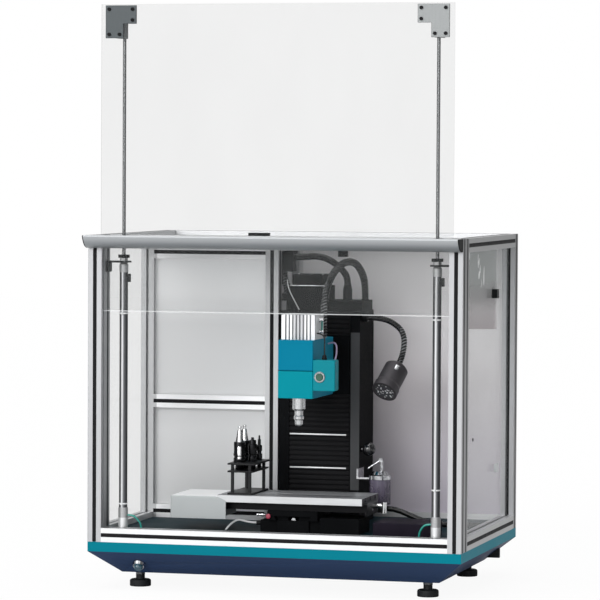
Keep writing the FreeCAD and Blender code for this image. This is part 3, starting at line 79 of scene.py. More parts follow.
soft_lamp("key_lamp", (0.32, 0.90, -0.34), 1.45, 35)
soft_lamp("side_lamp", (-0.30, 0.90, -0.25), 0.35, 40)
soft_lamp("top_lamp", (0.1, 0.15, -1), 1.10, 50)


class Shade:
    """A shader socket that can be used in sums."""

    def __init__(self, finish, socket):
        self.finish = finish
        self.socket = socket

    def maths(self, operation, first, second):
        return self.finish.node("Math", {"operation": operation}, {0: first, 1: second})

    def __add__(self, other):
        return self.maths("ADD", self, other)

    def __radd__(self, other):
        return self.maths("ADD", other, self)

    def __sub__(self, other):
        return self.maths("SUBTRACT", self, other)

    def __rsub__(self, other):
        return self.maths("SUBTRACT", other, self)

    def __mul__(self, other):
        return self.maths("MULTIPLY", self, other)

    def __rmul__(self, other):
        return self.maths("MULTIPLY", other, self)

    def __gt__(self, other):
        return self.maths("GREATER_THAN", self, other)

    def __lt__(self, other):
        return self.maths("LESS_THAN", self, other)


class Finish:
    """A surface finish, built from shader nodes."""

    def __init__(self, name, room=None):
        self.material = room or bpy.data.materials.new(name)
        self.material.use_nodes = True
        self.tree = self.material.node_tree
        self.tree.nodes.clear()
        self.place = self.node("TexCoord", out="Object")

    def node(self, kind, settings=None, sockets=None, out=0):
        """Add a node: its settings first, then the values or links of its sockets."""
        made = self.tree.nodes.new("ShaderNode" + kind)
        for key, value in (settings or {}).items():
            setattr(made, key, value)
        for key, value in (sockets or {}).items():
            if isinstance(value, Shade):
                self.tree.links.new(value.socket, made.inputs[key])
            else:
                made.inputs[key].default_value = value
        return Shade(self, made.outputs[out]) if len(made.outputs) else made

    def cloud(self, scale, detail=3.0, stretch=(1, 1, 1)):
        """Noise over the piece, stretched along its axes, from 0 to 1."""
        spread = self.node("Mapping", None, {"Vector": self.place, "Scale": stretch})
        return self.node("TexNoise", None, {"Vector": spread, "Scale": scale, "Detail": detail})

    def axis(self, letter):
        return self.node("SeparateXYZ", None, {0: self.place}, out=letter)

    def within(self, letter, low, high):
        """A mask of what lies between two places on an axis."""
        return (self.axis(letter) > low) * (self.axis(letter) < high)

    def rescale(self, value, low, high, to_low=0.0, to_high=1.0):
        """A value's stretch from low to high laid over another stretch, and cut off at its ends."""
        return self.node("MapRange", None, {"Value": value, "From Min": low, "From Max": high,
                                            "To Min": to_low, "To Max": to_high})

    def ramp(self, amount, *stops):
        """A colour that runs through stops, each a place from 0 to 1 and its colour."""
        run = self.node("ValToRGB", None, {0: amount})
        elements = run.socket.node.color_ramp.elements
        for element, (spot, tone) in zip(elements, (stops[0], stops[-1])):
            element.position, element.color = spot, colour(tone)
        for spot, tone in stops[1:-1]:
            elements.new(spot).color = colour(tone)
        return run

    def tint(self, amount, first, second):
        """A colour between two colours, or the second one wherever a mask is 1."""
        return self.node("Mix", {"data_type": "RGBA"},
                         {0: amount, 6: colour(first), 7: colour(second)}, out=2)

    def grain(self, height, depth, strength=0.5):
        """A bump from a height, its depth in metres."""
        return self.node("Bump", None, {"Strength": strength, "Distance": depth, "Height": height})

    def surface(self, **sockets):
        """Close the finish with the standard shader."""
        named = {key.replace("_", " "): value for key, value in sockets.items()}
        named["Base Color"] = colour(named["Base Color"])
        shader = self.node("BsdfPrincipled", None, named)
        self.node("OutputMaterial", None, {"Surface": shader})
        return self.material


def colour(value):
    """A colour with its alpha, or a socket as it is."""
    return value if isinstance(value, Shade) or len(value) == 4 else (*value, 1.0)


def dress(material, *names):
    """Give CAD nodes their finish."""
    for name in names:
        piece = nodes[name]
        for slot in piece.material_slots:
            slot.link = "OBJECT"
            slot.material = material


# The room: white to the camera and through the sheets. Metal shows its broad white screen in front, on the
# left, a second one overhead, a pale one beyond the machine and the greyer walls between them.
SCREEN_WAY, BEYOND_WAY = (-0.35, -0.92, 0.15), (-0.257, 0.966, 0.04)
ROOM_LIGHT = 0.52
room = Finish("Studio", bpy.data.worlds.new("Studio"))
bpy.context.scene.world = room.material
toward = room.node("TexCoord", out="Generated")
screen = room.node("VectorMath", {"operation": "DOT_PRODUCT"}, {0: toward, 1: SCREEN_WAY}, out="Value")
screen = room.rescale(screen, 0.30, 0.80, 0.24)
ceiling = room.node("SeparateXYZ", None, {0: toward}, out="Z")
ceiling = room.rescale(ceiling, 0.55, 0.85, to_high=0.7)
white_ray = room.node("LightPath", out="Is Camera Ray") + room.node("LightPath", out="Is Transmission Ray")
beyond = room.node("VectorMath", {"operation": "DOT_PRODUCT"}, {0: toward, 1: BEYOND_WAY}, out="Value")
beyond = room.rescale(beyond, 0.93, 0.985, to_high=0.74)
seen = room.node("Mix", None, {0: room.node("LightPath", out="Is Glossy Ray"), 2: ROOM_LIGHT,
                               3: screen + ceiling + beyond})
seen = room.node("Mix", None, {0: white_ray, 2: seen, 3: 1.0})
room.node("OutputWorld", None, {"Surface": room.node("Background", None, {"Color": (1, 1, 1, 1),
                                                                          "Strength": seen})})

bpy.ops.object.select_all(action="DESELECT")
bpy.ops.mesh.primitive_plane_add(size=40, location=(0, 0, -0.0005))
floor = bpy.context.object
floor.name = "studio_floor"
pale = Finish("studio_floor")
lit = pale.node("BsdfDiffuse", None, {"Color": (0.93, 0.93, 0.93, 1)})
white = pale.node("Emission", None, {"Color": (1, 1, 1, 1), "Strength": 1.0})
ray = pale.node("LightPath", out="Is Camera Ray")
floor_shade = pale.node("MixShader", None, {0: ray * 0.93, 1: lit, 2: white})
pale.node("OutputMaterial", None, {"Surface": floor_shade})
floor.data.materials.append(pale.material)

# --- Base pan ----------------------------------------------------------------------------------------
# A folded sheet steel pan carries the frame. Its upright rim is powder coated teal and the skirt that
# slopes in below it is a dark navy, partly its paint and partly painted shade under the rim; both are one
# pan, pressed, welded at the corners and painted in two passes.
RIM_BOTTOM = 0.1088
CREASE = math.radians(35)


def soften(name, width, segments=2):
    """Merge a CAD node's flat faces and round its edges, without touching its mesh."""
    piece = nodes[name]
    piece.modifiers.new("merge", "WELD").merge_threshold = 0.00002
    flat = piece.modifiers.new("flat", "DECIMATE")
    flat.decimate_type = "DISSOLVE"
    flat.angle_limit = math.radians(1)
    edge = piece.modifiers.new("edge", "BEVEL")
    edge.width = width
    edge.segments = segments
    edge.limit_method = "ANGLE"
    edge.angle_limit = CREASE
    edge.harden_normals = True


def mottled(name, scale, low, high, rough, fine=None, spread=0.1, detail=3, stretch=(1, 1, 1),
            fine_detail=3, bump=None, **more):
    """One colour with a faint mottle and an uneven sheen, which shares the mottle's noise unless it has a
    fine one. A bump, its depth and strength, follows the sheen or a noise of its own scale."""
    made = Finish(name)
    mottle = made.cloud(scale, detail, stretch)
    sheen = made.cloud(fine, fine_detail) if fine else mottle
    if bump:
        depth, strength, *own = bump
        more["Normal"] = made.grain(made.cloud(own[0], 2) if own else sheen, depth, strength)
    return made.surface(Base_Color=made.tint(mottle, low, high), Roughness=rough + sheen * spread, **more)


paint = Finish("pan_paint")
peel = paint.cloud(900, 2)
fade = paint.cloud(3.5, 2)
rim_colour = paint.tint(fade, (0.0005, 0.155, 0.210), (0.001, 0.190, 0.250))
# The skirt's navy is darker partly as painted shade under the rim.
skirt_colour = paint.tint(fade, (0.020, 0.036, 0.084), (0.027, 0.050, 0.108))
rim_and_shaded_skirt = paint.tint(paint.axis("Z") < RIM_BOTTOM, rim_colour, skirt_colour)
dress(paint.surface(Base_Color=rim_and_shaded_skirt, Roughness=0.34 + fade * 0.16, Specular_IOR_Level=0.04,
                    Normal=paint.grain(peel, 0.0004, 0.25)), "base_pan")
soften("base_pan", 0.0016)

dress(mottled("tray_paint", 9, (0.003, 0.013, 0.018), (0.009, 0.030, 0.040), 0.42, spread=0.25, detail=4,
              bump=(0.0004, 0.2, 700), Specular_IOR_Level=0.04), "floor_tray")

# --- Levelling feet ----------------------------------------------------------------------------------
# Moulded rubber pads on zinc plated studs, each stud with a locknut under the pan's flange.
foot_rubber = mottled("foot_rubber", 60, (0.004, 0.005, 0.006), (0.012, 0.013, 0.015), 0.5, spread=0.3,
                      detail=4, bump=(0.0006, 0.4), Specular_IOR_Level=0.25)


def clear():
    """Leave edit mode with nothing selected."""
    if bpy.context.mode != "OBJECT":
        bpy.ops.object.mode_set(mode="OBJECT")
    bpy.ops.object.select_all(action="DESELECT")


def begin(shape, name, **settings):
    """Add a primitive at its size and place and open it in edit mode, selected all over."""
    clear()
    getattr(bpy.ops.mesh, f"primitive_{shape}_add")(**settings)
    piece = bpy.context.object
    piece.name = piece.data.name = name
    bpy.ops.object.transform_apply(location=True, rotation=True, scale=True)
    bpy.ops.object.mode_set(mode="EDIT")
    return piece


def close_up(piece, material, body, edge=0.0, segments=2, replaces=()):
    """Round a finished piece's edges, give it its finish and hang it on a body."""
    clear()
    piece.select_set(True)
    bpy.context.view_layer.objects.active = piece
    bpy.ops.object.mode_set(mode="EDIT")
    bpy.ops.mesh.select_all(action="SELECT")
    bpy.ops.mesh.remove_doubles(threshold=0.000002)
    bpy.ops.mesh.normals_make_consistent(inside=False)
    bpy.ops.object.mode_set(mode="OBJECT")
    if edge:
        rounding = piece.modifiers.new("edge", "BEVEL")
        rounding.width = edge
        rounding.segments = segments
        rounding.limit_method = "ANGLE"
        bpy.ops.object.modifier_apply(modifier="edge")
    bpy.ops.object.shade_smooth_by_angle(angle=CREASE)
    piece.data.materials.clear()
    piece.data.materials.append(material)
    if replaces:
        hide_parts(*replaces)
    if body:
        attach(piece, body)
    return piece


def turned(name, at, axis, rings, material, body, edge=0.0, sides=32, replaces=(), hollow=False):
    """A turned piece: a disc drawn out along an axis ring by ring. Its place and its rings, each a radius
    and a height, are in mm; a hollow one starts from an open ring."""
    way = Vector([1.0 if letter == axis else 0.0 for letter in "xyz"])
    spin = {"x": (0, math.pi / 2, 0), "y": (math.pi / 2, 0, 0), "z": (0, 0, 0)}[axis]
    piece = begin("circle", name, vertices=sides, radius=rings[0][0] / 1000,
                  fill_type="NOTHING" if hollow else "NGON",
                  location=(Vector(at) + way * rings[0][1]) / 1000, rotation=spin)
    for (wide, low), (next_wide, high) in zip(rings, rings[1:]):
        bpy.ops.mesh.extrude_region_move(TRANSFORM_OT_translate={"value": way * (high - low) / 1000})
        share = next_wide / wide
        bpy.ops.transform.resize(value=[1.0 if letter == axis else share for letter in "xyz"])
    return close_up(piece, material, body, edge, 2, replaces)


def trim(name, low, high, material, body, edge=0.0006):
    """A small moulded or sawn block between two corners in mm, its edges broken."""
    middle = [(a + b) / 2000 for a, b in zip(low, high)]
    size = [(b - a) / 1000 for a, b in zip(low, high)]
    return close_up(begin("cube", name, size=1, location=middle, scale=size), material, body, edge)


PAD_RINGS = [(29.5, 0.2), (30.8, 1.6), (30.8, 15), (29.6, 18.6), (26, 20.4), (14.5, 20.8), (13, 23),
             (13, 34), (11.5, 36)]
for spot in ((-428, -233), (428, -233), (-428, 293), (428, 293)):
    turned("foot_pad", (*spot, 0), "z", PAD_RINGS, foot_rubber, "enclosure", sides=48,
           replaces=("foot_pads",))
dress(mottled("stud_zinc", 260, (0.05, 0.052, 0.056), (0.12, 0.123, 0.13), 0.3, spread=0.2,
              bump=(0.0002, 0.3), Metallic=0.9), "foot_studs")

# A black lug is welded under the pan at its right rear corner.
trim("pan_lug", (480, 285.5, 57.5), (526, 301.5, 85.5), foot_rubber, "enclosure", 0.001)

# --- Lit button on the skirt -------------------------------------------------------------------------
# A chromed brass bezel screwed into the sloping skirt, with a dark translucent push button in it.
chrome = Finish("chrome")
haze = chrome.cloud(90, 2)
chrome_tone = chrome.tint(haze * 2.0 - 0.5, (0.20, 0.205, 0.22), (0.72, 0.73, 0.75))
dress(chrome.surface(Base_Color=chrome_tone, Metallic=1.0, Roughness=0.06 + haze * 0.10),
      "main_button_bezel", "oiler_cap", "oiler_lever")
dress(mottled("button_lens", 30, (0.010, 0.04, 0.07), (0.02, 0.09, 0.12), 0.12, 90, Coat_Weight=0.6),
      "main_button")

# --- Slotted frame -----------------------------------------------------------------------------------
# Extruded aluminium bar, 40 mm square and 40 x 80 mm at the front, clear anodised and sawn to length. The
# bars are held by hidden connectors in their slots.
OUTER_FACE = 0.5492
CROSS_BAR_ENDS = (-0.5, -0.1625)


def bar_finish(name, long_way, dark, light):
    """Anodised bar with drawing lines along its length; its outward sides are darker, painted shade."""
    metal = Finish(name)
    lines = metal.cloud(420, 2, long_way)
    cloudy = metal.cloud(5, 3)
    tone = metal.tint(cloudy * 0.6 + lines * 0.4, dark, light)
    # The outward faces take a darker copy of the tone: painted shade.
    outer_face_shade = metal.tint(lines, [c * 0.58 for c in dark], [c * 0.58 for c in light])
    shaded_outer_face = metal.node("Math", {"operation": "ABSOLUTE"}, {0: metal.axis("X")}) > OUTER_FACE
    return metal.surface(Base_Color=metal.tint(shaded_outer_face, tone, outer_face_shade), Metallic=0.6,
                         Roughness=0.34 + lines * 0.14, Normal=metal.grain(lines, 0.00015, 0.35))


# The same bar finish is darker on the uprights than on the level rails: painted shade on the uprights.
upright_bar = bar_finish("bar_upright", (1, 1, 0.01), (0.33, 0.335, 0.35), (0.45, 0.455, 0.465))
dress(upright_bar, "front_posts", "rear_posts")
partition = Finish("bar_partition")
dull = partition.cloud(420, 2)
cross_bar = partition.within("X", *CROSS_BAR_ENDS)
# The cross bars are painted far paler than the posts: painted highlights.
post_tone = partition.tint(dull, (0.36, 0.365, 0.375), (0.45, 0.455, 0.46))
cross_bar_highlight = partition.tint(dull, (0.66, 0.665, 0.675), (0.76, 0.765, 0.775))
dress(partition.surface(Base_Color=partition.tint(cross_bar, post_tone, cross_bar_highlight), Metallic=0.6,
                        Roughness=0.34 + dull * 0.14), "partition_frame")
# The level rails are paler than the uprights: painted light.
level_bar = bar_finish("bar_across", (0.012, 1, 1), (0.58, 0.59, 0.60), (0.70, 0.705, 0.715))
dress(level_bar, "top_rails", "bottom_rails")

# Black plastic strips close the open slots. One strip is modelled, then copied to each slot's length.
# Each strip is wider than the slot's mouth, so its black also paints the shade and dark reflection in the
# slot's lips.
COVER_WIDTH, COVER_DEPTH, COVER_PLAY, COVER_PROUD = 0.0116, 0.0030, 0.0006, 0.0002
cover_black = mottled("slot_cover", 45, (0.002, 0.002, 0.003), (0.006, 0.006, 0.007), 0.5, spread=0.25,
                      stretch=(1, 1, 0.2), bump=(0.0005, 0.3), Specular_IOR_Level=0.15)


def pick(kind, test):
    """Select the open piece's faces or edges whose middle and direction pass a test."""
    bpy.ops.mesh.select_mode(type=kind)
    bpy.ops.mesh.select_all(action="DESELECT")
    form = bmesh.from_edit_mesh(bpy.context.object.data)
    for item in (form.faces if kind == "FACE" else form.edges):
        if kind == "FACE":
            chosen = test(item.calc_center_median(), item.normal)
        else:
            a, b = (v.co for v in item.verts)
            chosen = test((a + b) / 2, (b - a).normalized())
        item.select_set(chosen)
    form.select_flush_mode()
    bmesh.update_edit_mesh(bpy.context.object.data)


def join(pieces, name):
    """Join like pieces into one object."""
    clear()
    for piece in pieces:
        piece.select_set(True)
    bpy.context.view_layer.objects.active = pieces[0]
    bpy.ops.object.join()
    pieces[0].name = pieces[0].data.name = name
    return pieces[0]


def lay_copies(piece, places):
    """Copies of a piece, each with its own mesh, laid by matrices; the pattern itself is taken away."""
    copies = []
    for matrix in places:
        twin = bpy.data.objects.new(piece.name, piece.data.copy())
        bpy.context.scene.collection.objects.link(twin)
        twin.data.transform(matrix)
        copies.append(twin)
    bpy.data.objects.remove(piece)
    return copies


# Each slot: middle of its near end, its direction, its length and the way that its face looks, in mm.
LEFT, RIGHT, FRONT, BACK, PAN_TOP, ROOF = -550, 550, -355, 415, 137, 1020
BAR, HALF = 40, 20
POST = ROOF - PAN_TOP
CLEAR_POST = POST - 2 * BAR
CROSS_RAIL = RIGHT - LEFT - 2 * BAR
SIDE_RAIL = 650
RAIL_START = FRONT + 2 * BAR
DIVIDER, DIVIDER_FOOT, DIVIDER_POST = -142, 161, 819
CABINET_RAIL, CABINET_SIDE = 348, 183
slots = []
for side, out in ((LEFT, -1), (RIGHT, 1)):
    inset, outward = side - out * HALF, (out, 0, 0)
    slots += [((inset, FRONT, PAN_TOP), "z", POST, (0, -1, 0)),
              ((side, FRONT + HALF, PAN_TOP), "z", POST, outward),
              ((side, FRONT + 3 * HALF, PAN_TOP), "z", POST, outward),
              ((side - out * BAR, FRONT + 3 * HALF, PAN_TOP + BAR), "z", CLEAR_POST, (-out, 0, 0)),
              ((side, BACK - HALF, PAN_TOP), "z", POST, outward),
              ((inset, BACK, PAN_TOP), "z", POST, (0, 1, 0)),
              ((inset, BACK - BAR, PAN_TOP + BAR), "z", CLEAR_POST, (0, -1, 0)),
              ((side, RAIL_START, PAN_TOP + HALF), "y", SIDE_RAIL, outward),
              ((side, RAIL_START, ROOF - HALF), "y", SIDE_RAIL, outward),
              ((inset, RAIL_START, ROOF), "y", SIDE_RAIL, (0, 0, 1))]
for place, out in (((FRONT, PAN_TOP + HALF), (0, -1, 0)), ((FRONT + HALF, PAN_TOP + BAR), (0, 0, 1)),
                   ((BACK, PAN_TOP + HALF), (0, 1, 0)), ((BACK, ROOF - HALF), (0, 1, 0)),
                   ((RAIL_START, ROOF - HALF), (0, -1, 0)), ((RAIL_START + HALF, ROOF), (0, 0, 1)),
                   ((BACK - HALF, ROOF), (0, 0, 1))):
    slots.append(((LEFT + BAR, *place), "x", CROSS_RAIL, out))
slots += [((DIVIDER, BACK, PAN_TOP + BAR), "z", CLEAR_POST, (0, 1, 0)),
          ((DIVIDER, 152, DIVIDER_FOOT), "z", DIVIDER_POST, (0, -1, 0)),
          ((DIVIDER + HALF, 172, DIVIDER_FOOT), "z", DIVIDER_POST, (1, 0, 0))]
slots += [((LEFT + BAR, 152, height), "x", CABINET_RAIL, (0, -1, 0)) for height in (181, 512, 960)]
slots += [((DIVIDER + HALF, 192, height), "y", CABINET_SIDE, (1, 0, 0)) for height in (181, 960)]
strip = begin("cube", "slot_cover", size=1, location=(0, COVER_DEPTH / 2, 0.5),
              scale=(COVER_WIDTH, COVER_DEPTH, 1))
pick("EDGE", lambda at, way: abs(way.z) > 0.9 and at.y < COVER_DEPTH * 0.2)
bpy.ops.mesh.bevel(offset=0.0006, segments=2, affect="EDGES")
clear()
places = []
for at, way, length, out in slots:
    along = Vector([1.0 if letter == way else 0.0 for letter in "xyz"])
    inward = -Vector(out)
    turn = Matrix((inward.cross(along), inward, along)).transposed().to_4x4()
    start = Vector(at) / 1000 + along * COVER_PLAY + inward * -COVER_PROUD
    places.append(Matrix.Translation(start) @ turn
                  @ Matrix.Scale(length / 1000 - 2 * COVER_PLAY, 4, (0, 0, 1)))
covers = join(lay_copies(strip, places), "slot_covers")
close_up(covers, cover_black, "enclosure")

# --- Hood bar ----------------------------------------------------------------------------------------
# A bowed aluminium extrusion across the doorway, brushed along its length and anodised, with a moulded
# black cap pressed into each end.
hood = Finish("hood_bar")
brushed = hood.cloud(500, 2, (0.01, 1, 1))
HOOD_UNDERSIDE, HOODS_PER_METRE = 0.983, 27.0
# The bar is coloured dark below and pale towards its top: painted shading across its bow.
painted_hood_shading = hood.ramp((hood.axis("Z") - HOOD_UNDERSIDE) * HOODS_PER_METRE, (0.0, (0.24, 0.255, 0.265)),
                (0.40, (0.26, 0.275, 0.29)), (1.0, (0.45, 0.465, 0.48)))
dress(hood.surface(Base_Color=painted_hood_shading, Metallic=0.45, Roughness=0.34 + brushed * 0.12,
                   Normal=hood.grain(brushed, 0.0002, 0.3)), "hood_bar")
moulded = mottled("moulded_black", 20, (0.003, 0.0035, 0.004), (0.009, 0.010, 0.011), 0.40, 1100, 0.15,
                  fine_detail=2, bump=(0.0004, 0.35), Specular_IOR_Level=0.15)
dress(moulded, "catches", "conduit_fittings", "cylinder_straps")
dress(cover_black, "hood_end_caps")
soften("hood_end_caps", 0.0008)

# --- Sheets in the frame -----------------------------------------------------------------------------
# Painted steel panels close the control cabinet and the back. Clear acrylic closes the sides and the roof.
# The panels' coat is painted darker low down and paler towards the roof: painted shade and painted light.
CABINET_RIGHT, DOOR_EDGE, HOOD_TOP = -0.11, 0.8035, 1.02
coat = Finish("panel_grey")
mottle = coat.cloud(2.6, 3)
# Up the panel the coat's colour is painted lighter towards the roof: painted light.
coat_with_painted_light = coat.ramp((coat.axis("Z") - 0.18) * 1.28 + (mottle - 0.5) * 0.12, (0.0, (0.70, 0.705, 0.71)),
                      (0.30, (0.73, 0.735, 0.74)), (0.42, (0.66, 0.665, 0.67)),
                      (0.72, (0.67, 0.675, 0.68)), (0.84, (0.88, 0.885, 0.89)), (1.0, (0.96, 0.965, 0.97)))
dress(coat.surface(Base_Color=coat_with_painted_light, Roughness=0.42 + mottle * 0.2, Specular_IOR_Level=0.3,
                   Normal=coat.grain(coat.cloud(800, 2), 0.0004, 0.2)), "partition_panels")
wall = Finish("back_panel")
blush = wall.cloud(2.2, 2)
# Behind the mill the panel is painted dark low down and pale near the roof: painted shade and light.
painted_light_by_height = (wall.axis("Z") - 0.2) * 1.25 + (blush - 0.5) * 0.35
chamber_painted_light = wall.ramp(painted_light_by_height, (0.0, (0.50, 0.465, 0.535)), (0.45, (0.67, 0.635, 0.66)),
                         (0.66, (0.92, 0.895, 0.915)), (1.0, (0.97, 0.96, 0.965)))
cabinet_tone = wall.tint(blush, (0.74, 0.745, 0.75), (0.83, 0.83, 0.835))
dress(wall.surface(Base_Color=wall.tint(wall.axis("X") < CABINET_RIGHT, chamber_painted_light, cabinet_tone),
                   Roughness=0.36 + blush * 0.2), "cabinet_panels")


def clear_finish(name, tone, weight, shine, rough, edge=None):
    """Clear sheet, a little grey, with faint smears; it grows more opaque at a low angle, where its colour
    shows as a painted sheen. With an edge, its lower part is paler, a painted reflection of the room, and
    its polished lower edge is a pale line, a painted highlight."""
    sheet = Finish(name)
    smear = sheet.cloud(6, 3, (1, 1, 0.4))
    rim = sheet.node("Fresnel", None, {"IOR": 1.3})
    dense = weight + smear * 0.03 + rim * shine
    if edge:
        highlight_lip = sheet.axis("Z") < edge
        dense = dense + highlight_lip * 0.30
        # Below the hood top the sheet is paler, a painted reflection of the room; its lower edge is pale, a
        # painted highlight.
        tone = sheet.tint(sheet.axis("Z") < HOOD_TOP, tone, (0.20, 0.21, 0.21))
        tone = sheet.tint(highlight_lip, tone, (0.86, 0.88, 0.89))
    return sheet.surface(Base_Color=tone, Roughness=rough + smear * 0.06, Specular_IOR_Level=0.3,
                         Alpha=dense)


dress(clear_finish("door_clear", (0.07, 0.08, 0.078), 0.060, 0.2, 0.06, DOOR_EDGE), "door_sheet")
# The roof's near white colour shows as it grows opaque at a low angle: a painted reflection.
dress(clear_finish("roof_clear", (0.95, 0.96, 0.965), 0.04, 1.1, 0.08), "roof_sheet")
# The right window has a grey film on its upper part. The window, and the film most, is veiled darker as
# painted shade on the right side; pale streaks near the top are painted reflections.
FILM_BOTTOM, FILM_SLOPE, FILM_BACK, STREAK_BOTTOM = 0.752, 0.045, 0.196, 0.872
window = Finish("window_clear")
up, back = window.axis("Z"), window.axis("Y")
right_side = window.axis("X") > 0
film = (up + back * FILM_SLOPE > FILM_BOTTOM) * right_side * (back < FILM_BACK)
streak_noise = window.node("Mapping", None,
                      {"Vector": window.place, "Scale": (1, 1, 0.5), "Rotation": (0.5, 0, 0)})
streak_noise = window.node("TexNoise", None, {"Vector": streak_noise, "Scale": 22.0, "Detail": 4.0})
reflection_streak = ((streak_noise + back * -0.25 > 0.635) * (up > STREAK_BOTTOM)) * film
film_height_blend = window.rescale(up, 0.76, 0.90)
shaded_film_tone = window.tint(film_height_blend, (0.155, 0.115, 0.130), (0.38, 0.405, 0.40))
shaded_film_tone = window.tint(reflection_streak, shaded_film_tone, (0.8, 0.82, 0.82))
# The veil darkens the whole right window and its film most: painted shade.
veil = 0.015 + right_side * 0.11 + film * 0.50 + reflection_streak * 0.3
dress(window.surface(
    Base_Color=window.tint(film, (0.34, 0.36, 0.36), shaded_film_tone), Roughness=0.06 + window.cloud(6) * 0.05,
    Specular_IOR_Level=0.3, Alpha=veil + window.node("Fresnel", None, {"IOR": 1.3}) * 0.2), "side_windows")

# A second, pale catch sits low on the right window, with a small screw in front of it.
hazy_nylon = mottled("hazy_nylon", 60, (0.40, 0.42, 0.43), (0.52, 0.54, 0.55), 0.4, 90)
trim("window_catch", (534, 160, 324), (543, 186, 348), hazy_nylon, "enclosure", 0.0012)
turned("window_screw", (540, -166, 444), "x", [(5, 0), (5, 1.6), (3.6, 2.6)], moulded,
       "enclosure", 0.0003)

# --- Door gear ---------------------------------------------------------------------------------------
# Bent steel corner plates with socket screws hold the door sheet to a rod block on each side; two air
# cylinders with ground rods lift it, their tubes drawn aluminium and their caps turned.
CYLINDER_X, CYLINDER_Y, PALE_CAP_TOP = 462.5, -293, 0.204
plate = Finish("corner_plate")
brush = plate.cloud(300, 3, (1, 1, 0.05))
# The left plates are coloured dark and the right ones pale: painted shade and painted light on one finish.
shaded_left_plates = plate.tint(brush, (0.048, 0.056, 0.060), (0.066, 0.075, 0.079))
lit_right_plates = plate.tint(brush, (0.20, 0.21, 0.212), (0.25, 0.26, 0.262))
plate_tone = plate.tint(plate.axis("X") > 0.0, shaded_left_plates, lit_right_plates)
dress(plate.surface(Base_Color=plate_tone, Metallic=0.55, Roughness=0.32 + brush * 0.2), "corner_brackets")
soften("corner_brackets", 0.0012)
dress(mottled("ground_steel", 380, (0.42, 0.43, 0.44), (0.60, 0.61, 0.62), 0.16, spread=0.14, detail=2,
              stretch=(1, 1, 0.3), Metallic=1.0), "spindle", "tool_chuck", "z_screw", "y_screw", "x_screw")
dress(mottled("ground_rod", 380, (0.20, 0.205, 0.21), (0.28, 0.285, 0.29), 0.2, spread=0.14, detail=2,
              stretch=(1, 1, 0.3), Metallic=0.8), "piston_rods")
tube = Finish("cylinder_tube")
drawn = tube.cloud(260, 3, (1, 1, 0.02))
# Across each tube the colour runs dark, bright just left of the middle and dark again: a painted highlight
# between painted shade.
from_axis = tube.axis("X") - (tube.axis("X") > 0) * (CYLINDER_X / 500) + CYLINDER_X / 1000
band = tube.ramp(from_axis * 41.6 + 0.5 + (drawn - 0.5) * 0.06, (0.0, (0.03, 0.03, 0.032)),
                 (0.17, (0.035, 0.036, 0.04)), (0.34, (0.20, 0.20, 0.21)), (0.46, (0.80, 0.81, 0.82)),
                 (0.58, (0.34, 0.345, 0.36)), (0.70, (0.12, 0.122, 0.13)), (0.86, (0.07, 0.072, 0.078)),
                 (1.0, (0.04, 0.04, 0.045)))
dress(tube.surface(Base_Color=band, Metallic=0.35, Specular_IOR_Level=0.2, Roughness=0.22 + drawn * 0.14,
                   Normal=tube.grain(drawn, 0.0002, 0.3)), "cylinder_barrels")
turned_cap = Finish("cylinder_cap")
cap_lines = turned_cap.cloud(200, 2, (1, 1, 6))
cap_tone = turned_cap.tint(cap_lines, (0.30, 0.305, 0.31), (0.50, 0.505, 0.51))
cap_tone = turned_cap.tint(turned_cap.axis("Z") < PALE_CAP_TOP, cap_tone, (0.74, 0.75, 0.76))
dress(turned_cap.surface(Base_Color=cap_tone, Metallic=0.5, Roughness=0.25 + cap_lines * 0.15),
      "cylinder_caps")
# Each rod ends in a sawn block behind its corner plate, split on one side and drawn together on the rod.
grey_block = mottled("rod_block", 150, (0.10, 0.11, 0.115), (0.17, 0.18, 0.185), 0.35, spread=0.15,
                     stretch=(1, 1, 0.2), Metallic=0.5)
for side in (-1, 1):
    block = begin("cube", "rod_block", size=1, location=(side * 0.467, -0.30525, 1.608),
                  scale=(0.021, 0.0545, 0.050))
    pick("FACE", lambda at, way: way.y > 0.9)
    bpy.ops.mesh.inset(thickness=0.004, use_even_offset=True)
    bpy.ops.mesh.inset(thickness=0.0052, use_even_offset=True)
    bpy.ops.mesh.extrude_region_move(TRANSFORM_OT_translate={"value": (0, -0.012, 0)})
    close_up(block, grey_block, "door", 0.0008, replaces=("rod_blocks",))

# A knurled gland nut on each cylinder, a switch on its tube and white nylon ties round both tubes.
white_nylon = mottled("white_nylon", 80, (0.66, 0.67, 0.68), (0.82, 0.83, 0.84), 0.4, 160)
TIE_RINGS = [(12.05, -2.2), (13.3, -1.8), (13.3, 1.8), (12.05, 2.2), (12.05, -2.2)]
KNURL = math.radians(15)
for x, heights in ((-CYLINDER_X, (794, 244)), (CYLINDER_X, (790, 309))):
    nut = begin("cylinder", "gland_nut", vertices=24, radius=0.0168, depth=0.0092, end_fill_type="NOTHING",
                location=(x / 1000, CYLINDER_Y / 1000, 0.95815))
    pick("EDGE", lambda at, way: abs(way.z) > 0.9 and round(
        math.atan2(at.y - CYLINDER_Y / 1000, at.x - x / 1000) / KNURL) % 2 == 0)
    bpy.ops.transform.resize(value=(0.80, 0.80, 1))
    clear()
    nut.modifiers.new("wall", "SOLIDIFY").thickness = 0.0072
    bpy.context.view_layer.objects.active = nut
    bpy.ops.object.modifier_apply(modifier="wall")
    close_up(nut, moulded, "enclosure", 0.0005)
    trim("tube_switch", (x + 12.1, -299, 884), (x + 20, -287, 908), moulded, "enclosure",
         0.001)
    for z in heights:
        turned("tube_tie", (x, CYLINDER_Y, z), "z", TIE_RINGS, white_nylon, "enclosure",
               hollow=True)
        trim("tie_head", (x - 4, -309.5, z - 3), (x + 2, -305.6, z + 3), white_nylon,
             "enclosure")

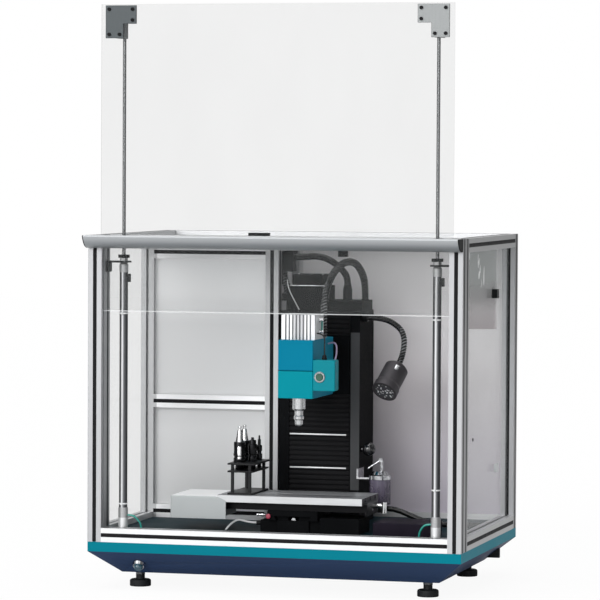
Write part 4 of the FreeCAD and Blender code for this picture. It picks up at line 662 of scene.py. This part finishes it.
# --- Mill castings -----------------------------------------------------------------------------------
# Grey iron castings, filled, rubbed down and sprayed black; the ways and the table are ground bright.
FLANGE_ENDS, FLANGE_LEFT, FLANGE_BACK = (0.262, 0.729), 0.108, 0.1262
iron = Finish("iron_black")
fill = iron.cloud(180, 4)
tide = iron.cloud(8, 3)
flange = iron.within("Z", *FLANGE_ENDS) * (iron.axis("X") > FLANGE_LEFT) * (iron.axis("Y") < FLANGE_BACK)
cast = iron.tint(tide, (0.0022, 0.0025, 0.0030), (0.0075, 0.0080, 0.0090))
castings = ("mill_base", "saddle", "column", "z_drive", "head_carriage")
dress(iron.surface(Base_Color=iron.tint(flange, cast, (0.068, 0.070, 0.073)), Specular_IOR_Level=0.02,
                   Roughness=0.42 + fill * 0.22, Normal=iron.grain(fill, 0.0012, 0.3)), *castings)
for name in castings:
    soften(name, 0.002)
TABLE_TOP, TABLE_UNDERSIDE, TABLE_FRONT, COCK_LEFT = 0.2678, 0.2482, -0.2045, 0.2344
bright = Finish("ground_table")
scrape = bright.cloud(60, 4, (0.3, 1, 1))
level_z = bright.axis("Z")
# The table's underside is painted near black, painted shade; its back and ends are dark, partly dull iron
# and partly painted shade.
underside_shade = bright.tint(scrape, (0.002, 0.002, 0.003), (0.007, 0.007, 0.008))
front_tone = bright.tint(scrape, (0.52, 0.53, 0.54), (0.66, 0.67, 0.68))
streak = bright.cloud(16, 4, (0.15, 1.6, 1))
ground_tone = bright.tint(streak * 1.6 - 0.3, (0.07, 0.073, 0.08), (0.50, 0.51, 0.53))
side_iron_and_shade = bright.tint(scrape, (0.020, 0.021, 0.024), (0.080, 0.082, 0.088))
table_top, cock = level_z > TABLE_TOP, bright.axis("X") > COCK_LEFT
skin = bright.tint(bright.axis("Y") < TABLE_FRONT, side_iron_and_shade, front_tone)
skin = bright.tint(table_top, skin, ground_tone)
skin = bright.tint(level_z < TABLE_UNDERSIDE, skin, underside_shade)
dress(bright.surface(Base_Color=bright.tint(cock, skin, (0.78, 0.79, 0.80)),
                     Metallic=0.25 + table_top * 0.4 + cock * 0.7, Specular_IOR_Level=0.1,
                     Roughness=0.30 + scrape * 0.2 - cock * 0.2, Normal=bright.grain(scrape, 0.0003, 0.25)),
      "table")
LID_TOP = 0.2638
lid = Finish("drive_cover")
cloudy = lid.cloud(6, 3)
# The lid's top is painted far paler than its sides: painted light on the top, painted shade on the sides.
lit_lid_top = lid.tint(cloudy, (0.90, 0.91, 0.92), (0.96, 0.965, 0.97))
shaded_lid_sides = lid.tint(cloudy, (0.40, 0.425, 0.43), (0.46, 0.485, 0.49))
dress(lid.surface(Base_Color=lid.tint(lid.axis("Z") > LID_TOP, shaded_lid_sides, lit_lid_top),
                  Roughness=0.42 + cloudy * 0.15, Specular_IOR_Level=0.2,
                  Normal=lid.grain(lid.cloud(800, 2), 0.0004, 0.2)), "x_drive_cover")

# --- Head --------------------------------------------------------------------------------------------
# The head casting is painted blue, with a glossy two-part teal cover on its front and a moulded control
# box on its right side.
COVER_JOINT, MOTOR_GROOVE = 0.629, (-0.1222, -0.1186)
dress(mottled("head_paint", 9, (0.008, 0.185, 0.290), (0.014, 0.235, 0.350), 0.34, 240, 0.2,
              fine_detail=4, bump=(0.001, 0.3), Specular_IOR_Level=0.1), "head_casting")
soften("head_casting", 0.003)
cover = Finish("head_cover")
sheen = cover.cloud(5, 2)
upper = cover.tint(sheen, (0.001, 0.175, 0.290), (0.002, 0.210, 0.335))
lower = cover.tint(sheen, (0.001, 0.235, 0.300), (0.002, 0.280, 0.345))
dress(cover.surface(Base_Color=cover.tint(cover.axis("Z") < COVER_JOINT, upper, lower),
                    Specular_IOR_Level=0.03, Roughness=0.28 + sheen * 0.12,
                    Normal=cover.grain(cover.cloud(700, 2), 0.0003, 0.15)), "head_cover")
soften("head_cover", 0.0022, 3)
dress(mottled("control_box", 6, (0.0005, 0.205, 0.255), (0.001, 0.245, 0.300), 0.28, 40,
              bump=(0.0003, 0.2, 900), Specular_IOR_Level=0.1), "control_box")
soften("control_box", 0.003, 3)
silver = Finish("turned_aluminium")
facing = silver.cloud(300, 2, (1, 1, 0.1))
# The groove bottoms are painted darker: painted shade in the recesses.
groove_shade = silver.within("Y", *MOTOR_GROOVE)
# Across the motor the colour runs in pale and dark bands: painted highlights and shade.
shine = silver.ramp((silver.axis("X") + 0.037) * 10.0 + (facing - 0.5) * 0.1, (0.0, (0.86, 0.87, 0.88)),
                    (0.28, (0.90, 0.905, 0.91)), (0.42, (0.48, 0.485, 0.50)), (0.66, (0.56, 0.565, 0.58)),
                    (0.74, (0.90, 0.905, 0.91)), (1.0, (0.74, 0.75, 0.76)))
dress(silver.surface(Base_Color=silver.tint(groove_shade, shine, (0.30, 0.305, 0.32)), Metallic=0.35,
                     Roughness=0.28 + facing * 0.15), "spindle_motor")
dress(mottled("button_ring", 160, (0.16, 0.17, 0.175), (0.46, 0.47, 0.48), 0.2, spread=0.2, Metallic=0.7),
      "head_button_ring")
dress(mottled("green_lens", 60, (0.006, 0.050, 0.035), (0.02, 0.12, 0.06), 0.15, 80, Coat_Weight=0.5),
      "head_button")

# Chromed air fittings on the motor's right side with a short teal pipe between them, a cable gland on the
# control box, and on the Z motor a bright seam plate and the cap's screws.
fitting_chrome = mottled("fitting_chrome", 120, (0.46, 0.47, 0.49), (0.74, 0.75, 0.76), 0.12, 90,
                         Metallic=1.0)
pipe_teal = mottled("pipe_teal", 70, (0.02, 0.16, 0.14), (0.05, 0.30, 0.26), 0.25, 60)
ELBOW_RINGS = [(6.5, 0), (6.5, 3), (4.6, 3.4), (4.6, 9), (5.4, 10), (4.4, 13.5)]
for z in (774, 740):
    turned("air_elbow", (63.1, -75, z), "x", ELBOW_RINGS, fitting_chrome, "head", 0.0005)
PIPE_RINGS = [(3, 743), (3, 744.5), (2.6, 745), (2.6, 769), (3, 769.5), (3, 771)]
turned("air_pipe", (71.5, -75, 0), "z", PIPE_RINGS, pipe_teal, "head")
GLAND_RINGS = [(8, 0.1), (8, 5), (6.4, 5.5), (6.4, 10), (4.8, 13), (2.4, 14.5)]
turned("box_gland", (94, -132, 662), "z", GLAND_RINGS, moulded, "head", 0.0004)
trim("motor_seam", (-86.5, 149.2, 863.9), (35.5, 153, 866.1), fitting_chrome, "enclosure", 0.0004)
SCREW_RINGS = [(3.2, 0), (3.2, 1.6), (2.4, 2.4)]
for x in (-62, -24, 11):
    turned("cap_screw", (x, 168, 898), "z", SCREW_RINGS, fitting_chrome, "enclosure")

# --- Lamp --------------------------------------------------------------------------------------------
# A flexible steel arm in a black sleeve carries a finned aluminium lamp head with a frosted lens.
black_sleeve = mottled("black_sleeve", 500, (0.0015, 0.002, 0.002), (0.007, 0.0075, 0.008), 0.20,
                       spread=0.12, detail=2, bump=(0.0005, 0.35), Specular_IOR_Level=0.35)
coil = Finish("coil_sleeve")
tilted = coil.node("Mapping", None, {"Vector": coil.place, "Rotation": (0.25, 0.45, 0)})
turns = coil.node("TexWave", {"wave_type": "BANDS", "bands_direction": "Z"},
                  {"Vector": tilted, "Scale": 40.0, "Distortion": 0.0}, out="Fac")
crest = coil.rescale(turns, 0.62, 0.95)
# Only the lamp arm's outer side and the head conduit's rising leg carry painted highlights on their ribs,
# in patches.
ARM_OUTSIDE, RISE_RIGHT = 0.253, 0.066
lit_side = (coil.axis("X") > ARM_OUTSIDE) + (coil.axis("X") < RISE_RIGHT)
patch = coil.rescale(coil.cloud(20, 1), 0.30, 0.56)
gleam = lit_side * 0.9 * patch + 0.08
coil_black = coil.surface(Base_Color=coil.tint(crest * gleam, (0.002, 0.0025, 0.003), (0.30, 0.31, 0.32)),
                          Specular_IOR_Level=0.4, Roughness=0.22 + gleam * 0.1)
dress(mottled("lamp_metal", 12, (0.030, 0.028, 0.031), (0.085, 0.080, 0.087), 0.36, 500, 0.2,
              bump=(0.0003, 0.3), Metallic=0.3, Specular_IOR_Level=0.2), "lamp_head")
frost = Finish("lamp_lens")
dots = frost.node("TexVoronoi", None, {"Vector": frost.place, "Scale": 130.0})
dress(frost.surface(Base_Color=frost.tint((dots - 0.22) * 5.0, (0.92, 0.93, 0.95), (0.035, 0.036, 0.042)),
                    Roughness=0.2 + dots * 0.3, Coat_Weight=0.3), "lamp_lens")

# A spring clip lies along the lamp head's side, in the head's own directions.
LAMP_NECK = Vector((0.250, 0.127, 0.631))
lamp_axis = Vector((-0.227, -0.686, -0.691)).normalized()
clip_way = Vector((0.44, -0.705, 0.555))
clip_way = (clip_way - lamp_axis * clip_way.dot(lamp_axis)).normalized()
clip = begin("cube", "lamp_clip", size=1, scale=(0.013, 0.0028, 0.018))
clear()
clip.data.transform(Matrix.Translation(LAMP_NECK + lamp_axis * 0.030 + clip_way * 0.0366)
                    @ Matrix((lamp_axis.cross(clip_way) * -1, clip_way, lamp_axis)).transposed().to_4x4())
close_up(clip, fitting_chrome, "lamp", 0.0008)

# --- Tool rack, knob, lubricator and floor box -------------------------------------------------------
# The rack is cut and bent from black sheet; taper holders stand in it. The jar is smoked plastic under a
# chromed cap, the knob is polished black phenolic and the box on the floor is painted steel.
dress(mottled("rack_black", 120, (0.002, 0.002, 0.0025), (0.010, 0.0105, 0.012), 0.30, spread=0.25,
              detail=4, bump=(0.0004, 0.3), Specular_IOR_Level=0.2), "tool_rack")
soften("tool_rack", 0.0006)
# The tapers are bright steel above black bodies; the foremost holder also shows a bright band lower down.
TAPER_FOOT, TAPER_MIDDLE, TAPER_RIGHT = 0.417, -0.16, -0.145
BAND_HEIGHTS, BAND_SIDES, BAND_BACK = (0.368, 0.404), (-0.1625, -0.1525), -0.122
holder = Finish("tool_holders")
tool_x = holder.axis("X")
oxide = holder.tint(holder.cloud(90), (0.003, 0.003, 0.004), (0.014, 0.0145, 0.016))
# Across each taper the bright steel fades to dark towards its sides: a painted highlight.
from_middle = holder.node("Math", {"operation": "ABSOLUTE"}, {0: tool_x - TAPER_MIDDLE})
taper_steel_highlight = holder.tint(from_middle * 120.0, (0.92, 0.925, 0.93), (0.07, 0.072, 0.078))
band = holder.within("Z", *BAND_HEIGHTS) * holder.within("X", *BAND_SIDES) * (holder.axis("Y") < BAND_BACK)
bare = (holder.axis("Z") > TAPER_FOOT) * (tool_x < TAPER_RIGHT) + band
dark_holder = holder.surface(Base_Color=holder.tint(bare, oxide, taper_steel_highlight), Metallic=0.8,
                             Roughness=0.16 + holder.cloud(150) * 0.2)
TAPER_RINGS = [(12.4, 337.4), (12.4, 356), (18, 359.5), (18, 369), (15.6, 371.5), (15.6, 375), (18, 377.5),
               (18, 383), (16.8, 384), (16.8, 416.7), (11.6, 417.9), (6.2, 451), (3.6, 452), (3.6, 456.5),
               (5.2, 457.5), (5.2, 461), (3, 463)]
COLLET_RINGS = [(9.2, 337.4), (9.2, 356), (13.4, 359.5), (13.4, 372), (11.6, 374), (11.6, 378), (13.4, 380),
                (13.4, 408), (10.6, 411), (10.6, 421), (4.2, 422), (4.2, 428), (3.2, 429)]
DRILL_RINGS = [(6, 337.4), (6, 356), (8.8, 359.5), (8.8, 376), (6.4, 378), (6.4, 384), (8.2, 386),
               (8.2, 400), (4.6, 403), (4.6, 418), (2.6, 420), (2.6, 429), (1.2, 431)]
for name, at, rings, edge in (("taper_holder", (-162, -122), TAPER_RINGS, 0.0004),
                              ("taper_holder", (-164, -64), TAPER_RINGS, 0.0004),
                              ("collet_holder", (-131, -94), COLLET_RINGS, 0.0004),
                              ("drill_holder", (-127, -34), DRILL_RINGS, 0.0003)):
    turned(name, (*at, 0), "z", rings, dark_holder, "table", edge, replaces=("rack_tools",))
dress(mottled("knob_black", 40, (0.006, 0.006, 0.007), (0.016, 0.016, 0.018), 0.08, 60, 0.08,
              Coat_Weight=0.7), "lock_knob")
smoked = Finish("smoked_jar")
jar_tone = smoked.tint(smoked.axis("Z") * 12.0 - 2.7, (0.055, 0.045, 0.075), (0.16, 0.14, 0.20))
dress(smoked.surface(Base_Color=jar_tone, Roughness=0.15 + smoked.cloud(60) * 0.1,
                     Alpha=0.58 + smoked.cloud(60, 2, (1, 1, 0.05)) * 0.4), "oiler_jar")
dress(mottled("floor_box", 12, (0.004, 0.003, 0.006), (0.014, 0.010, 0.020), 0.5, 30, 0.2,
              Specular_IOR_Level=0.08), "floor_box")
soften("floor_box", 0.003)
GROMMET_RINGS = [(7.5, 0.1), (7.5, 1.8), (6.2, 3), (3.3, 3.4)]
turned("hose_grommet", (-191, -164, 161), "z", GROMMET_RINGS, moulded, "enclosure")
red_plastic = mottled("red_plastic", 90, (0.30, 0.02, 0.05), (0.46, 0.06, 0.10), 0.3, 60)
CAP_RINGS = [(5.6, 0.5), (5.6, -2), (7.2, -2.4), (7.2, -8), (5.8, -9)]
turned("oil_cap", (-57, -180, 209), "y", CAP_RINGS, red_plastic, "saddle", 0.0005)
UNION_RINGS = [(3.4, 0), (3.4, -4), (5.6, -4.4), (5.6, -12), (3.8, -13), (3.8, -20), (4.8, -20.6),
               (4.8, -25), (3.2, -26)]
turned("oil_union", (-66, -184, 213), "x", UNION_RINGS, fitting_chrome, "saddle", 0.0004)
dress(cover_black, "bracket_screws")

# --- Bellows -----------------------------------------------------------------------------------------
# Folded rubberised cloth in front of the Z screw, below and above the head. Its folds are stiffened by
# strips; two of them are bare metal. The cloth is glued fold by fold and screwed on at both ends.
bellows_black = mottled("bellows_cloth", 14, (0.003, 0.003, 0.0035), (0.012, 0.012, 0.0135), 0.55, 900,
                        0.2, stretch=(0.2, 1, 1), fine_detail=2, bump=(0.0003, 0.4),
                        Specular_IOR_Level=0.10)
steel_strip = mottled("stiffener_steel", 90, (0.55, 0.56, 0.57), (0.74, 0.75, 0.76), 0.35, 200,
                      stretch=(0.1, 1, 1), Metallic=0.5)
BELLOWS_PLACE, BELLOWS_SIZE = (0.013, 0.1335), (0.1838, 0.0158)
BELLOWS_FOOT, CARRIAGE_FOOT, CARRIAGE_TOP, BELLOWS_TOP = 0.2277, 0.5443, 0.7217, 0.7903
FOLD_IN = (0.982, 0.66)


def ride_with_head(piece):
    """Bake a piece's place into its mesh; it is hung on no body."""
    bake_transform(piece)


def folded_cover(name, node, low, high, folds):
    """An accordion cover, drawn up in four steps a fold: in, out again and straight up twice."""
    cover = begin("plane", name, size=1, location=(*BELLOWS_PLACE, low))
    bpy.ops.transform.resize(value=(*BELLOWS_SIZE, 1))
    rise_by = (high - low) / folds / 4
    for step in range(folds * 4):
        bpy.ops.mesh.extrude_region_move(TRANSFORM_OT_translate={"value": (0, 0, rise_by)})
        if step % 4 == 0:
            bpy.ops.transform.resize(value=(*FOLD_IN, 1))
        elif step % 4 == 1:
            bpy.ops.transform.resize(value=(1 / FOLD_IN[0], 1 / FOLD_IN[1], 1))
    close_up(cover, bellows_black, None, 0.0004, 1, (node,))
    ride_with_head(cover)


folded_cover("bellows_lower_cloth", "bellows_lower", BELLOWS_FOOT, CARRIAGE_FOOT, 22)
folded_cover("bellows_upper_cloth", "bellows_upper", CARRIAGE_TOP, BELLOWS_TOP, 5)

for name, z in (("upper_stiffener", 425), ("lower_stiffener", 326)):
    stiffener = trim(name, (-77, 124.5, z - 2.1), (95, 125.9, z + 2.1), steel_strip, None, 0.0004)
    ride_with_head(stiffener)

# --- Cords -------------------------------------------------------------------------------------------
# Hoses and conduits, each one smooth line through the points of its route. The air hoses are thin teal
# tube, the drain hose is black rubber and the conduits are corrugated black plastic.


def spline(name, route):
    """An open smooth line with the route's points as its control points."""
    line = bpy.data.curves.new(name, "CURVE")
    line.dimensions = "3D"
    line.resolution_u = 16
    run = line.splines.new("NURBS")
    run.points.add(len(route) - 1)
    for point, at in zip(run.points, route):
        point.co = (at[0] / 1000, at[1] / 1000, at[2] / 1000, 1)
    run.order_u = 3
    run.use_endpoint_u = True
    piece = bpy.data.objects.new(name, line)
    bpy.context.scene.collection.objects.link(piece)
    return piece


def hose(name, route, diameter, material, node, body="enclosure"):
    """A smooth hose or wire along its route, in mm; its diameter is in metres."""
    piece = spline(name, route)
    piece.data.bevel_depth = diameter / 2
    piece.data.bevel_resolution = 5
    piece.data.use_fill_caps = True
    piece.data.materials.append(material)
    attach(piece, body)
    if node:
        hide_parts(node)


teal_tube = mottled("teal_tube", 40, (0.015, 0.20, 0.16), (0.03, 0.33, 0.27), 0.2, 60, Coat_Weight=0.3)
LEFT_AIR_ROUTE = [(-448.5, -293, 211), (-433.5, -293, 211), (-421.5, -289.8, 201), (-409.5, -285, 183.5),
                  (-409.5, -285, 161)]
RIGHT_AIR_ROUTE = [(448.5, -293, 211), (433.5, -293, 211), (422.5, -289, 201), (411.5, -283, 183.5),
                   (411.5, -283, 161)]
hose("left_air_hose", LEFT_AIR_ROUTE, 0.006, teal_tube, "floor_hoses")
hose("right_air_hose", RIGHT_AIR_ROUTE, 0.006, teal_tube, "floor_hoses")
clear_tube = mottled("pale_tube", 40, (0.62, 0.63, 0.64), (0.80, 0.81, 0.81), 0.25, 60)
AIR_LINE_ROUTE = [(-101, -150, 186), (-126.2, -150, 186), (-165.8, -158, 198), (-191, -164, 163.5)]
hose("air_line", AIR_LINE_ROUTE, 0.006, clear_tube, "floor_hoses")
DRAIN_ROUTE = [(216, 103, 213), (250.1, 103, 213), (295.9, 98, 196), (341.9, 99, 178), (390.1, 107, 170),
               (439.9, 117, 170), (510, 117, 170)]
hose("drain_hose", DRAIN_ROUTE, 0.016, black_sleeve, "floor_hoses")
PLUG_ROUTE = [(-88, 212, 948), (-60, 212, 948), (-20, 213, 952), (18, 215, 942), (48, 216, 920),
              (67.5, 216, 900), (74.5, 216, 880), (74.5, 216, 865)]
hose("plug_conduit", PLUG_ROUTE, 0.02, black_sleeve, "supply_conduits")

# Thin cables and wires: on the control box, beside the head casting and down from the Z motor.
BOX_ROUTE = [(94, -132, 674), (94, -132, 700), (93, -124, 718), (84, -108, 732), (70, -102, 736),
             (63.2, -102, 736)]
hose("box_cable", BOX_ROUTE, 0.004, black_sleeve, None, body="head")
violet_wire = mottled("violet_wire", 60, (0.26, 0.20, 0.34), (0.42, 0.36, 0.50), 0.3, 90)
HEAD_WIRE_ROUTE = [(65.5, 20, 700), (80, 20, 706), (96, 5, 698), (106, -40, 668), (108, -85, 642),
                   (108, -109, 636)]
hose("head_wire", HEAD_WIRE_ROUTE, 0.005, violet_wire, None, body="head")
MOTOR_WIRE_ROUTE = [(-93, 147, 882), (-92, 146, 868), (-86, 146, 848), (-72, 146, 822), (-62, 146, 804),
                    (-56, 146, 793)]
hose("motor_wire", MOTOR_WIRE_ROUTE, 0.0026, clear_tube, None)


def conduit(name, route, radius, rib, pitch, node, body="enclosure"):
    """A corrugated tube: rings of ribs set along the route's smooth line."""
    line = spline(name + "_line", route)
    run = bpy.data.meshes.new_from_object(line.evaluated_get(bpy.context.evaluated_depsgraph_get()))
    path = [v.co.copy() for v in run.vertices]
    bpy.data.objects.remove(line)
    far = [0.0]
    for a, b in zip(path, path[1:]):
        far.append(far[-1] + (b - a).length)
    steps = round(far[-1] / pitch) * 4
    form = bmesh.new()
    rings = []
    side = Vector((0, 1, 0.3))
    for step in range(steps + 1):
        reach = far[-1] * step / steps
        index = max(i for i, f in enumerate(far) if f <= reach + 1e-9)
        index = min(index, len(path) - 2)
        share = (reach - far[index]) / (far[index + 1] - far[index])
        middle = path[index].lerp(path[index + 1], share)
        way = (path[index + 1] - path[index]).normalized()
        side = (side - way * side.dot(way)).normalized()
        other = way.cross(side)
        size = radius + (rib if step % 4 in (2, 3) else 0.0)
        rings.append([form.verts.new(middle + (side * math.cos(a) + other * math.sin(a)) * size)
                      for a in (math.tau * k / CONDUIT_SIDES for k in range(CONDUIT_SIDES))])
    for near, next_one in zip(rings, rings[1:]):
        for k in range(CONDUIT_SIDES):
            after = (k + 1) % CONDUIT_SIDES
            form.faces.new((near[k], near[after], next_one[after], next_one[k]))
    form.faces.new(list(reversed(rings[0])))
    form.faces.new(rings[-1])
    mesh = bpy.data.meshes.new(name)
    form.to_mesh(mesh)
    form.free()
    piece = bpy.data.objects.new(name, mesh)
    bpy.context.scene.collection.objects.link(piece)
    close_up(piece, coil_black, body, replaces=(node,))
    return piece


CONDUIT_SIDES = 20
ARCH_ROUTE = [(55, 5, 718), (55, 5, 778), (59, 7, 846), (73, 32, 904), (93, 85, 938), (113, 145, 938),
              (118.5, 213, 907), (121.5, 245, 869), (121.5, 245, 821)]
arch = conduit("head_conduit_skin", ARCH_ROUTE, 0.0090, 0.0020, 0.0075, "head_conduit", body=None)
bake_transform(arch)
MOTOR_CONDUIT_ROUTE = [(-121.8, 212, 904), (-121.8, 212, 884), (-110.5, 212, 859), (-110.5, 212, 839)]
conduit("motor_conduit_skin", MOTOR_CONDUIT_ROUTE, 0.0102, 0.0020, 0.0075, "supply_conduits")
LAMP_ARM_ROUTE = [(135.6, 165, 773), (178.4, 165, 773), (224.7, 160, 762), (265.5, 151, 729),
                  (260, 157.2, 661.4), (250, 127, 631)]
conduit("lamp_arm_coil", LAMP_ARM_ROUTE, 0.0078, 0.0012, 0.006, "lamp_arm", body="lamp")

# --- Close -------------------------------------------------------------------------------------------
clear()
